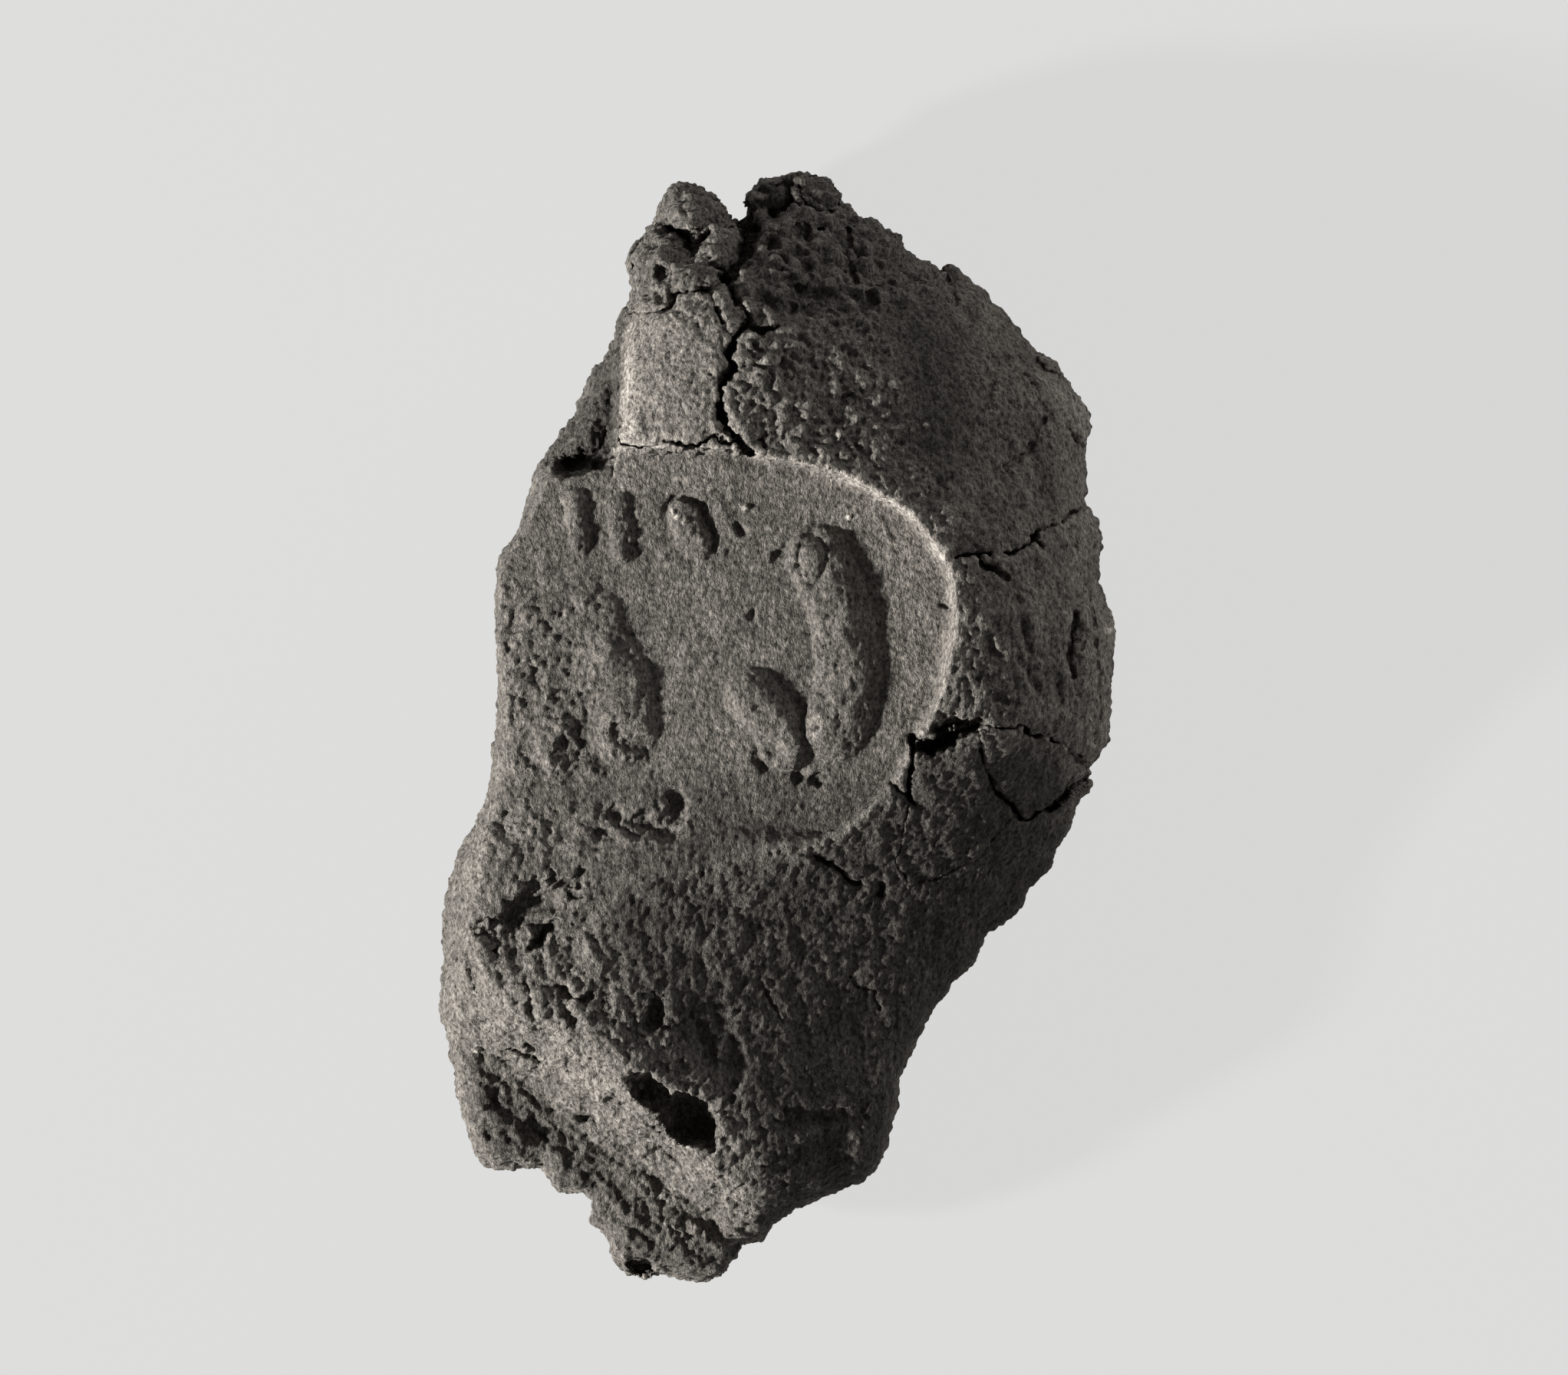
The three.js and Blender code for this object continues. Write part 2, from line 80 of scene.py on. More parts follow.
SILHOUETTE = [
    (872, 238), (895, 232), (915, 238), (932, 248), (948, 262), (966, 258), (972, 252), (980, 238),
    (992, 230), (1010, 228), (1025, 222), (1043, 218), (1062, 222), (1080, 230), (1092, 244), (1098, 262),
    (1110, 272), (1128, 286), (1145, 286), (1158, 296), (1170, 308), (1185, 325), (1200, 334), (1222, 345),
    (1240, 344), (1252, 352), (1268, 364), (1285, 378), (1292, 392), (1305, 398), (1315, 412), (1325, 428),
    (1338, 442), (1350, 456), (1370, 464), (1382, 474), (1390, 492), (1398, 508), (1412, 520), (1420, 536),
    (1424, 556), (1418, 576), (1415, 598), (1415, 625), (1413, 655), (1421, 662), (1430, 680), (1435, 705),
    (1433, 735), (1432, 760), (1443, 780), (1452, 800), (1456, 825), (1453, 860), (1450, 900), (1449, 940),
    (1446, 965), (1436, 980), (1426, 995), (1420, 1003), (1424, 1018), (1420, 1035), (1404, 1052),
    (1398, 1070), (1390, 1090), (1378, 1110), (1372, 1130), (1360, 1145), (1342, 1160), (1335, 1180),
    (1320, 1198), (1300, 1210), (1285, 1220), (1278, 1238), (1270, 1255), (1255, 1272), (1240, 1290),
    (1225, 1310), (1208, 1330), (1200, 1348), (1190, 1370), (1182, 1392), (1172, 1410), (1170, 1440),
    (1162, 1470), (1154, 1495), (1148, 1515), (1135, 1535), (1125, 1545), (1108, 1552), (1085, 1562),
    (1065, 1570), (1040, 1582), (1020, 1592), (1005, 1600), (1000, 1612), (985, 1622), (965, 1628),
    (955, 1645), (945, 1662), (930, 1672), (910, 1675), (888, 1672), (868, 1665), (855, 1668), (838, 1671),
    (818, 1665), (800, 1650), (795, 1630), (785, 1612), (770, 1600), (768, 1585), (772, 1570), (760, 1560),
    (745, 1560), (725, 1556), (718, 1545), (712, 1530), (700, 1522), (680, 1525), (660, 1526), (645, 1529),
    (630, 1522), (620, 1508), (615, 1490), (606, 1465), (598, 1440), (594, 1415), (592, 1390), (588, 1365),
    (583, 1345), (578, 1335), (575, 1318), (576, 1300), (578, 1285), (580, 1260), (580, 1230), (580, 1205),
    (583, 1175), (588, 1150), (598, 1120), (610, 1098), (622, 1078), (632, 1055), (638, 1030), (642, 1005),
    (647, 980), (650, 950), (652, 920), (650, 890), (650, 860), (648, 830), (648, 800), (646, 775),
    (648, 750), (652, 730), (662, 714), (668, 708), (676, 692), (685, 665), (692, 640), (696, 615),
    (705, 606), (712, 596), (720, 580), (732, 562), (745, 545), (752, 530), (760, 512), (765, 495),
    (772, 478), (785, 468), (795, 455), (802, 440), (804, 420), (812, 406), (820, 398), (824, 385),
    (824, 370), (820, 350), (818, 335), (822, 318), (832, 306), (845, 298), (852, 284), (862, 262),
    (868, 248),
]
CROWN_PIXEL = (965, 800)

# The lump's section near its silhouette, in eight directions from +X round by +Y: how full it is, and its
# girth's height as a share. Inside the flat share of the way out, the lump rests on the ground.
FULLNESS = [3.2, 1.9, 2.2, 4.0, 40.0, 9.0, 3.2, 1.15]
GIRTH_SHARES = [1, 1.06, 0.88, 1, 1.3, 1.12, 0.82, 0.8]
FLAT_SHARE = 0.62
UNDERSIDE_POWER = 2.2

# Within the silhouette the lump is a roof along a ridge: rows of the picture, the ridge's column and height
# in them, and how full the roof is to its left and to its right
RIDGE_ROWS = [215, 300, 370, 420, 500, 590, 640, 800, 950, 1050, 1120, 1180, 1300, 1420, 1520, 1600, 1680]
RIDGE_COLUMNS = [955, 950, 950, 950, 952, 957, 955, 950, 930, 900, 850, 800, 765, 790, 850, 880, 890]
RIDGE_HEIGHTS = [8, 12.6, 15, 16, 16.9, 17.4, 17.7, 18.3, 17.7, 16.9, 16.3, 15.9, 15.6, 14.8, 13, 11, 8]
LEFT_FULLNESS = [2, 3, 4.6, 5, 3.8, 3, 30, 40, 40, 30, 20, 10, 7, 6, 4, 3, 2]
RIGHT_FULLNESS = [1.6, 1.5, 1.5, 1.5, 1.5, 1.6, 2.1, 3.1, 2.6, 1.7, 1.3, 1.1, 1.05, 1.05, 1.1, 1.3, 1.6]

RIM = [
    (812, 582), (850, 584), (900, 586), (950, 588), (975, 592), (1010, 600), (1050, 606), (1090, 617),
    (1130, 635), (1165, 655), (1195, 680), (1215, 710), (1235, 735), (1242, 765), (1243, 790), (1242, 820),
    (1235, 860), (1228, 900), (1215, 930), (1200, 960), (1180, 1000), (1160, 1030), (1135, 1055),
    (1105, 1080), (1070, 1097), (1030, 1105), (1000, 1112), (965, 1122), (930, 1135), (890, 1142),
    (850, 1146), (800, 1150), (750, 1145), (700, 1140), (650, 1135), (600, 1115), (520, 1040), (480, 900),
    (500, 720), (600, 600), (720, 560),
]
# The field's plane: its middle, how it leans along x and y, and how it twists down at the right below a row
FIELD_PIXEL = (900, 860)
FIELD_SLOPE = (-0.019, 0.028)
TWIST_ROW = 950
TWIST = 0.03
TWIST_REACH = 5
TWIST_AXIS = -2


def place(pixel):
    """A pixel of the reference view as x and y in millimetres."""
    shares = [(pixel[i] - VIEW_LOW[i]) / (VIEW_HIGH[i] - VIEW_LOW[i]) for i in range(2)]
    return np.array([LOW[0] + shares[0] * (HIGH[0] - LOW[0]), HIGH[1] - shares[1] * (HIGH[1] - LOW[1])])


def places(pixels):
    """Pixels as rows of places."""
    return np.array([place(p) for p in pixels])


# The volume's grid

def axis_points(low, high):
    """The grid's marks along one axis."""
    return np.arange(low - MARGIN, high + MARGIN, VOXEL, dtype=np.float32)


XS = axis_points(LOW[0], HIGH[0])
YS = axis_points(LOW[1], HIGH[1])
ZS = axis_points(0.0, CROWN)
X, Y = np.meshgrid(XS, YS, indexing="ij")
Z = ZS[None, None, :]
ROWS = VIEW_LOW[1] + (HIGH[1] - Y) / PIXEL
COLUMNS = VIEW_LOW[0] + (X - LOW[0]) / (HIGH[0] - LOW[0]) * (VIEW_HIGH[0] - VIEW_LOW[0])


# Noise

# What brings noise to about -1 to 1, and how far each seed's noise lies from the next one's
NOISE_GAIN = 1.6
SEED_STEP = 1.37
# How much finer each octave is, and how many scattered seeds lie along a side before they repeat
FINER = 2.1
CRUMB_CELLS = 24


def lattice(seed, size):
    """Random unit vectors on a small lattice that repeats."""
    vectors = np.random.default_rng(seed).normal(size=(size,) * 3 + (3,)).astype(np.float32)
    return vectors / np.linalg.norm(vectors, axis=-1, keepdims=True)


def noise(points, wavelength, seed, size=24):
    """Smooth noise from about -1 to 1 at points in millimetres."""
    vectors = lattice(seed, size)
    spot = np.asarray(points, np.float32) / np.float32(wavelength) + np.float32(seed * SEED_STEP)
    low = np.floor(spot)
    part = spot - low
    low = low.astype(np.int32)
    share = part * part * part * (part * (part * 6 - 15) + 10)
    total = np.zeros(spot.shape[:-1], np.float32)
    for corner in itertools.product((0, 1), repeat=3):
        index = (low + np.array(corner, np.int32)) % size
        vector = vectors[index[..., 0], index[..., 1], index[..., 2]]
        weight = np.prod(np.where(corner, share, 1 - share), axis=-1)
        total += weight * np.sum(vector * (part - np.array(corner, np.float32)), axis=-1)
    return total * NOISE_GAIN


def octaves(points, wavelength, seed, count=3, fall=0.5):
    """Noise of several wavelengths, each finer and fainter than the one before."""
    total = 0
    for i in range(count):
        total = total + noise(points, wavelength / FINER ** i, seed + i) * fall ** i
    return total


def noise_map(wavelength, seed, count=2):
    """Noise over the grid, seen from above."""
    return octaves(np.stack([X, Y, np.zeros_like(X)], axis=-1), wavelength, seed, count)


def roughened(values, layers):
    """A map with layers of noise on it: their amounts, wavelengths and seeds."""
    for amount, wavelength, seed in layers:
        values = values + amount * noise_map(wavelength, seed)
    return values


def crumbs(points, size, seed):
    """Distances to the nearest and second nearest of scattered seeds, in sizes."""
    offsets = np.random.default_rng(seed).random((CRUMB_CELLS,) * 3 + (4,)).astype(np.float32)[..., :3]
    spot = np.asarray(points, np.float32) / np.float32(size)
    low = np.floor(spot).astype(np.int32)
    nearest = np.full(len(spot), np.inf, np.float32)
    second = nearest.copy()
    for step in itertools.product((-1, 0, 1), repeat=3):
        cell = low + np.array(step, np.int32)
        index = cell % CRUMB_CELLS
        own = offsets[index[:, 0], index[:, 1], index[:, 2]]
        distance = np.sqrt(np.sum((cell + own - spot) ** 2, axis=1))
        second = np.where(distance < nearest, nearest, np.minimum(second, distance))
        nearest = np.minimum(nearest, distance)
    return nearest, second


# Plane geometry on the grid

TINY = 1e-6


def ease(low, high, value):
    """Goes smoothly from 0 at the first value to 1 at the second."""
    share = np.clip((value - low) / (high - low), 0, 1)
    return share * share * (3 - 2 * share)


def segments(points, closed):
    """The start and end of each of a line's or a loop's segments."""
    ends = np.roll(points, -1, axis=0) if closed else points[1:]
    starts = points if closed else points[:-1]
    return zip(starts, ends)


def line_distance(pixels, x=None, y=None, closed=False):
    """The distance to a line through pixels, how far along it the nearest spot is, as a share, and the side
    of the line that a place lies on, from -1 to 1."""
    x = X if x is None else x
    y = Y if y is None else y
    points = places(pixels)
    count = len(points) if closed else len(points) - 1
    best = np.full(x.shape, np.inf, np.float32)
    along = np.zeros(x.shape, np.float32)
    side = np.zeros(x.shape, np.float32)
    for i, (a, b) in enumerate(segments(points, closed)):
        d = b - a
        t = np.clip(((x - a[0]) * d[0] + (y - a[1]) * d[1]) / (d @ d), 0, 1)
        distance = np.hypot(x - a[0] - t * d[0], y - a[1] - t * d[1])
        turn = (d[0] * (y - a[1]) - d[1] * (x - a[0])) / np.linalg.norm(d)
        closer = distance < best
        best = np.where(closer, distance, best)
        along = np.where(closer, (i + t) / count, along)
        side = np.where(closer, turn / np.maximum(distance, TINY), side)
    return best, along, side


def loop_distance(pixels, x=None, y=None):
    """The distance to a loop, negative inside it."""
    x = X if x is None else x
    y = Y if y is None else y
    distance = line_distance(pixels, x, y, closed=True)[0]
    inside = np.zeros(x.shape, bool)
    for a, b in segments(places(pixels), True):
        if a[1] == b[1]:
            continue
        crosses = (a[1] > y) != (b[1] > y)
        inside ^= crosses & (x < (b[0] - a[0]) * (y - a[1]) / (b[1] - a[1]) + a[0])
    return np.where(inside, -distance, distance).astype(np.float32)


def spot_share(pixel, half_pixels, turn, x=None, y=None):
    """How far out of an ellipse each place lies: 0 at its middle and 1 on its edge."""
    x = X if x is None else x
    y = Y if y is None else y
    middle = place(pixel)
    c, s = math.cos(math.radians(turn)), math.sin(math.radians(turn))
    along = (x - middle[0]) * c + (y - middle[1]) * s
    across = (y - middle[1]) * c - (x - middle[0]) * s
    return np.hypot(along / (half_pixels[0] * PIXEL), across / (half_pixels[1] * PIXEL))


def soft_max(a, b, radius):
    """The larger of two distances, with the edge between them rounded."""
    share = np.clip(0.5 + 0.5 * (a - b) / radius, 0, 1)
    return b + (a - b) * share + radius * share * (1 - share)


def soft_min(a, b, radius):
    """The smaller of two distances, with the edge between them rounded."""
    return -soft_max(-a, -b, radius)


# Edges and cracks wander a little, as clay does
XW = roughened(X, ((0.13, 1.1, 11), (0.05, 0.4, 12)))
YW = roughened(Y, ((0.13, 1.1, 13), (0.05, 0.4, 14)))


def wandered(share):
    """The grid's places, wandered by a share of the whole."""
    return X + share * (XW - X), Y + share * (YW - Y)


# The lump as it was pressed

def reach_table(steps=1440):
    """How far the silhouette lies from the crown, all the way round."""
    angles = np.arange(steps) / steps * 2 * math.pi
    rays = np.stack([np.cos(angles), np.sin(angles)], axis=1)
    farthest = np.zeros(steps)
    for a, b in segments(places(SILHOUETTE) - place(CROWN_PIXEL), True):
        edge = b - a
        turn = rays[:, 0] * edge[1] - rays[:, 1] * edge[0]
        turn = np.where(np.abs(turn) < 1e-9, 1e-9, turn)
        share = (a[0] * rays[:, 1] - a[1] * rays[:, 0]) / turn
        along = (a[0] * edge[1] - a[1] * edge[0]) / turn
        hit = (share >= 0) & (share <= 1) & (along > 0)
        farthest = np.where(hit, np.maximum(farthest, along), farthest)
    return farthest


def evened(table, degrees):
    """A table round the circle, with bumps narrower than some degrees evened out."""
    steps = len(table)
    turns = np.minimum(np.arange(steps), steps - np.arange(steps)) / steps * 360
    weights = np.exp(-((turns / degrees) ** 2))
    return np.fft.irfft(np.fft.rfft(table) * np.fft.rfft(weights / weights.sum()), steps)


def by_angle(values, angles, eased=False):
    """A table round the circle at angles, along straight lines between its entries, or eased."""
    table = np.array(values, float)
    spot = angles / (2 * math.pi) * len(table)
    low = np.floor(spot).astype(int)
    part = spot - low
    if eased:
        part = (1 - np.cos(part * math.pi)) / 2
    return table[low % len(table)] * (1 - part) + table[(low + 1) % len(table)] * part


def by_direction(values, angles):
    """A table of a few directions round the circle, eased between them."""
    return by_angle(values, angles, eased=True)


# The silhouette's bumps: how wide broad and middling ones are in degrees, how fast middling and fine ones
# fade towards the crown, and how far past the silhouette they grow, as a share
BUMP_DEGREES = (13, 3.5)
BUMP_FADING = (4, 14)
BUMP_REACH = 1.15
PASSES = 12


def angles_about(pixel):
    """The direction of each place from a pixel."""
    middle = place(pixel)
    return np.mod(np.arctan2(Y - middle[1], X - middle[0]), 2 * math.pi)


def radial_share():
    """The share of the way from the crown to the silhouette, and the direction."""
    crown = place(CROWN_PIXEL)
    angles = angles_about(CROWN_PIXEL)
    radius = np.hypot(X - crown[0], Y - crown[1])
    table = reach_table()
    broad, middle = [evened(table, degrees) for degrees in BUMP_DEGREES]
    reach, *bumps = [by_angle(t, angles) for t in (broad, middle - broad, table - middle)]
    share = radius / reach
    for _ in range(PASSES):
        capped = np.minimum(share, BUMP_REACH)
        grown = sum(bump * capped ** power for bump, power in zip(bumps, BUMP_FADING))
        share = (share + (radius - grown) / reach) / 2
    return share.astype(np.float32), angles


# How many pixels from the ridge a row past the silhouette ends, and over how many millimetres this is evened
PAST_END = 60
ROW_EVENING = 4.0


def row_ends():
    """The silhouette's left and right end in each row of the picture."""
    rows = ROWS[0]
    left = np.full(rows.shape, np.inf)
    right = -left
    points = np.array(SILHOUETTE, float)
    for a, b in segments(points, True):
        if a[1] == b[1]:
            continue
        t = (rows - a[1]) / (b[1] - a[1])
        crossing = a[0] + t * (b[0] - a[0])
        hit = (t >= 0) & (t <= 1)
        left = np.where(hit, np.minimum(left, crossing), left)
        right = np.where(hit, np.maximum(right, crossing), right)
    middle = np.interp(rows, RIDGE_ROWS, RIDGE_COLUMNS)
    left = np.where(np.isinf(left), middle - PAST_END, left)
    right = np.where(np.isinf(right), middle + PAST_END, right)
    kernel = np.exp(-np.linspace(-2, 2, int(ROW_EVENING / VOXEL) | 1) ** 2)
    return [np.convolve(np.pad(side, len(kernel) // 2, mode="edge"), kernel / kernel.sum(), "valid")
            for side in (left, right)]


def along_ridge(values):
    """A table of the ridge's rows, at each of the grid's rows."""
    return np.interp(ROWS[0], RIDGE_ROWS, values)


def roof():
    """How far down the roof each place lies, from 0 at the crown's height to 1 at the girth's."""
    columns = COLUMNS[:, :1]
    middle = along_ridge(RIDGE_COLUMNS)
    left, right = row_ends()
    ridge = ((along_ridge(RIDGE_HEIGHTS) - GIRTH) / (CROWN - GIRTH)) ** 2
    share_left = np.clip((middle - columns) / (middle - left), 0, None)
    share_right = np.clip((columns - middle) / (right - middle), 0, None)
    down = share_left ** along_ridge(LEFT_FULLNESS) + share_right ** along_ridge(RIGHT_FULLNESS)
    return 1 - np.clip(1 - down, 0, 1) * ridge


# Swellings and dents: middle, half length and half width in pixels, turn, and rise in millimetres
FORMS = [
    ((962, 470), (200, 75), 88, 0.35),
    ((1300, 800), (230, 70), 88, 0.3),
    ((700, 1240), (150, 110), 0, -0.5),
    ((1110, 960), (180, 110), 60, -0.2),
]


def forms_map():
    """How far the swellings and dents rise at each place."""
    rise = np.zeros_like(X)
    for pixel, half, turn, height in FORMS:
        rise += height * np.exp(-spot_share(pixel, half, turn) ** 2)
    return rise


def section(rim_share, height, half_height):
    """Roughly the distance to a skin that closes in to the silhouette as it leaves the girth."""
    steep = np.hypot(*np.gradient(rim_share, VOXEL))[..., None]
    outside = rim_share[..., None] + (height / half_height) ** 2 - 1
    return outside / np.sqrt((2 * height / half_height ** 2) ** 2 + steep ** 2 + TINY)


# How late on the way to the silhouette the roof gives way to the section round the crown, and swellings fade
ROOF_POWER = 12
FORMS_POWER = 6


def lump():
    """The lump as it was pressed, as a volume that is negative inside it, and its girth's heights."""
    share, angles = radial_share()
    power = by_direction(FULLNESS, angles)
    girth = (GIRTH * by_direction(GIRTH_SHARES, angles)).astype(np.float32)
    radial = share ** power
    within = 1 - np.clip(share, 0, 1) ** ROOF_POWER
    upper = (radial + (roof() - radial) * within).astype(np.float32)
    under = np.clip((share - FLAT_SHARE) / (1 - FLAT_SHARE), 0, None) ** UNDERSIDE_POWER
    rise = (forms_map() * np.clip(1 - share ** FORMS_POWER, 0, 1)).astype(np.float32)
    height = Z - (rise + girth)[..., None]
    girth = girth[..., None]
    above = section(upper, height, CROWN - girth)
    below = section(under, height, girth)
    solid = np.where(height > 0, above, below).astype(np.float32)
    return np.maximum(solid, -Z), girth[..., 0]


def surface_map(volume):
    """The height of the volume's upper skin over the grid, or -1 where there is no clay."""
    inside = volume < 0
    top = len(ZS) - 1 - np.argmax(inside[:, :, ::-1], axis=2)
    rows, columns = np.indices(top.shape)
    here = volume[rows, columns, top]
    over = volume[rows, columns, np.minimum(top + 1, len(ZS) - 1)]
    heights = ZS[top] + VOXEL * np.clip(here / np.minimum(here - over, -1e-6), 0, 1)
    return np.where(inside.any(axis=2), heights, -1).astype(np.float32)


# A height well clear of the lump, the steepest slope that pressing reckons with, and a sharp edge's radius
CLEAR = 3
STEEPEST = 6
SHARP = 1e-3


def press(volume, heights, radius=SHARP):
    """Takes away what stands above a map of heights, and rounds the edge that this leaves."""
    slope = np.hypot(*np.gradient(np.clip(heights, -CLEAR, CROWN + CLEAR), VOXEL))
    scale = (1 / np.sqrt(1 + np.clip(slope, 0, STEEPEST) ** 2)).astype(np.float32)
    above = (Z - heights[..., None].astype(np.float32)) * scale[..., None]
    volume[:] = soft_max(volume, above, radius)


# The stamped field

def field_plane():
    """The height of the field's floor at each place."""
    middle = place(FIELD_PIXEL)
    x, y = X - middle[0], Y - middle[1]
    below = np.clip((ROWS - TWIST_ROW) * PIXEL, 0, TWIST_REACH)
    return FIELD + FIELD_SLOPE[0] * x + FIELD_SLOPE[1] * y - TWIST * below * np.clip(x - TWIST_AXIS, 0, None)


# Relief: the crest as pixels, its reach to the left and to the right in pixels, its height in millimetres,
# and the share of that height over which its left side leans. The rest is a step at that side's edge.
BOSSES = [
    ([(1062, 728), (1080, 766), (1094, 808), (1101, 850), (1099, 905), (1084, 950)], 40, 49, 0.72, 0.36),
    ([(976, 908), (994, 926), (1012, 948), (1020, 972)], 33, 42, 0.66, 0.36),
    ([(804, 866), (816, 896), (822, 925), (823, 952)], 58, 38, 0.54, 1),
    ([(782, 796), (796, 834), (806, 866)], 50, 32, 0.34, 1),
    ([(728, 956), (736, 980)], 34, 26, 0.46, 0.8),
    ([(748, 652), (752, 680), (756, 708)], 12, 20, 0.34, 0.4),
    ([(804, 660), (808, 690), (812, 722)], 13, 22, 0.34, 0.4),
    ([(894, 670), (902, 690), (908, 706)], 27, 27, 0.34, 0.8),
    ([(938, 664), (944, 684)], 10, 14, 0.1, 0.5),
    ([(700, 800), (690, 860), (700, 905)], 40, 40, 0.12, 1),
    ([(866, 1160), (880, 1164)], 18, 18, 0.3, 0.5),
]
# A small oval with a groove round it, at the big boss's head
RINGED = ((1058, 729), (14, 25), 0, 0.15)

# How far the figures' edges wander with the clay, and how they round into each other, in millimetres
FIGURE_WANDER = 0.35
FIGURE_ROUNDING = 0.06
# How abrupt the step at the left edge is, and over how much of a crest's side its reach and its lean change
STEP_POWER = 8
REACH_CHANGE = 0.6
LEAN_CHANGE = 0.4
# Where the groove round the oval lies and how wide it is, as shares of the oval's half size
RING = 1.25
RING_WIDTH = 0.22


def relief_map():
    """The seal's figures, which stand out of the field, steeper on their right."""
    x, y = wandered(FIGURE_WANDER)
    relief = np.zeros_like(X)
    for crest, left, right, height, lean in BOSSES:
        distance, _, side = line_distance(crest, x, y)
        width = PIXEL * (left + (right - left) * ease(-REACH_CHANGE, REACH_CHANGE, side))
        share = np.clip(distance / width, 0, 1)
        leaning = 1 - lean * share ** 2 - (1 - lean) * share ** STEP_POWER
        right_side = ease(-LEAN_CHANGE, LEAN_CHANGE, side)
        bump = height * (right_side * (1 - share ** 2) + (1 - right_side) * leaning)
        relief = soft_max(relief, bump, FIGURE_ROUNDING)
    pixel, half, turn, height = RINGED
    share = spot_share(pixel, half, turn, x, y)
    relief += height * (1 - np.clip(share, 0, 1) ** 4)
    relief -= height * np.exp(-((share - RING) / RING_WIDTH) ** 2)
    return relief


# The rim's wall in eight directions from +X round by +Y: its width and how far its edge is rounded, in
# millimetres, its slope outside the rim, and how much highlight is painted on its edge, most where the wall
# faces the light
WALL_WIDTHS = [0.6, 0.5, 0.3, 0.3, 0.3, 3.6, 3.0, 0.5]
WALL_ROUNDING = [0.15, 0.1, 0.1, 0.2, 0.2, 1.2, 1.1, 0.2]
WALL_SLOPES = [6, 6, 6, 6, 6, 0.5, 0.8, 6]
WALL_PAINTED_HIGHLIGHT = [0.4, 1, 0.5, 0, 0, 0, 0, 0.15]
# How high the wall is, how far past the rim it climbs as a share, and how hollow its foot is
WALL_HEIGHT = 1.15
WALL_CLIMB = 1.3
WALL_HOLLOW = 2.5
RIM_WANDER = 0.4
# How far inside the rim its painted highlight lies, and how wide that is
HIGHLIGHT_INSET = 0.03
HIGHLIGHT_WIDTH = 0.22


def stamp(volume, figures):
    """Presses the field and figures, and returns how much each place lies in it and in its rim's painted
    highlight.
    """
    rim = loop_distance(RIM, *wandered(RIM_WANDER))
    angles = angles_about(FIELD_PIXEL)
    climb = np.clip(1 + rim / by_direction(WALL_WIDTHS, angles), 0, WALL_CLIMB)
    heights = field_plane() + figures + WALL_HEIGHT * climb ** WALL_HOLLOW
    heights += by_direction(WALL_SLOPES, angles) * np.clip(rim, 0, None)
    rounding = by_direction(WALL_ROUNDING, angles).astype(np.float32)
    press(volume, heights, rounding[..., None])
    outer = 0.1 + 0.2 * rounding
    inner = -0.25 - 0.25 * rounding
    # A highlight painted on the rim's edge, strongest where the wall faces the light
    highlight_share = by_direction(WALL_PAINTED_HIGHLIGHT, angles) * np.exp(-((rim + HIGHLIGHT_INSET) / HIGHLIGHT_WIDTH) ** 2)
    return ease(outer, inner, rim), highlight_share


# The break left of the field, with a slot under the field's edge

BREAK = [
    (824, 388), (817, 430), (815, 480), (811, 530), (806, 570), (800, 597), (775, 604), (742, 621),
    (706, 607), (600, 600), (600, 380),
]
# The break's floor: its middle column, its height and lean, and how uneven it is, with the wavelength, seed
# and octaves of its noise
BREAK_COLUMN = 760
BREAK_FLOOR = 12.9
BREAK_LEAN = 0.22
BREAK_UNEVENNESS = 0.35
BREAK_NOISE = (2.2, 21, 3)
# Its wall: how steep it is, and how far inside the break it starts
BREAK_STEEPNESS = 5.5
BREAK_FOOT = 0.45
BREAK_ROUNDING = 0.25
# How far outside its loop broken clay begins to show, and how far inside all is broken
BREAK_EDGE = (0.15, -0.2)
# The slot: its middle, half length and half width in pixels, and its turn
SLOT = ((750, 608), (56, 17), 8)
SLOT_DEPTH = 2.2


def break_off(volume):
    """Breaks the clay off, and returns how much each place lies in the break."""
    loop = loop_distance(BREAK, XW, YW)
    floor = BREAK_FLOOR - BREAK_LEAN * (XW - place((BREAK_COLUMN, 0))[0])
    floor += BREAK_UNEVENNESS * noise_map(*BREAK_NOISE)
    floor -= SLOT_DEPTH * np.clip(1 - spot_share(*SLOT, XW, YW), 0, 1)
    press(volume, floor + BREAK_STEEPNESS * np.clip(loop + BREAK_FOOT, 0, None), BREAK_ROUNDING)
    return ease(*BREAK_EDGE, loop)


# The rope's impression across the lower end

# Its lowest line in pixels, and the floor's height at the line's ends
ROPE = [(560, 1336), (1000, 1653)]
ROPE_FLOORS = (12.0, 7.8)
# How the clay rises from it: slope and curve on the side of the field, and a gentle slope on the other
FIELD_SIDE = (0.75, 0.22)
END_SIDE = 0.05
# How far the floor is rounded into the field's side, and how far the groove's edges are
ROPE_ROUNDING = 0.2
GROOVE_ROUNDING = 1.1
# The strands that the rope has left: how deep, how far apart, and how much longer than that
STRAND_DEPTH = 0.12
STRAND_WIDTH = 0.8
STRAND_LENGTH = 7
# How far the rope's line wanders, and the wavelength and seed of its noise
ROPE_WANDER = 0.35
ROPE_NOISE = (3.0, 36)
# Between which shares of the line the floor falls, and how far under and over the groove the clay's skin was
# where the impression begins to show and where it does in full
ROPE_SPAN = (-0.2, 1.3)
ROPE_EDGE = (0.5, -0.3)


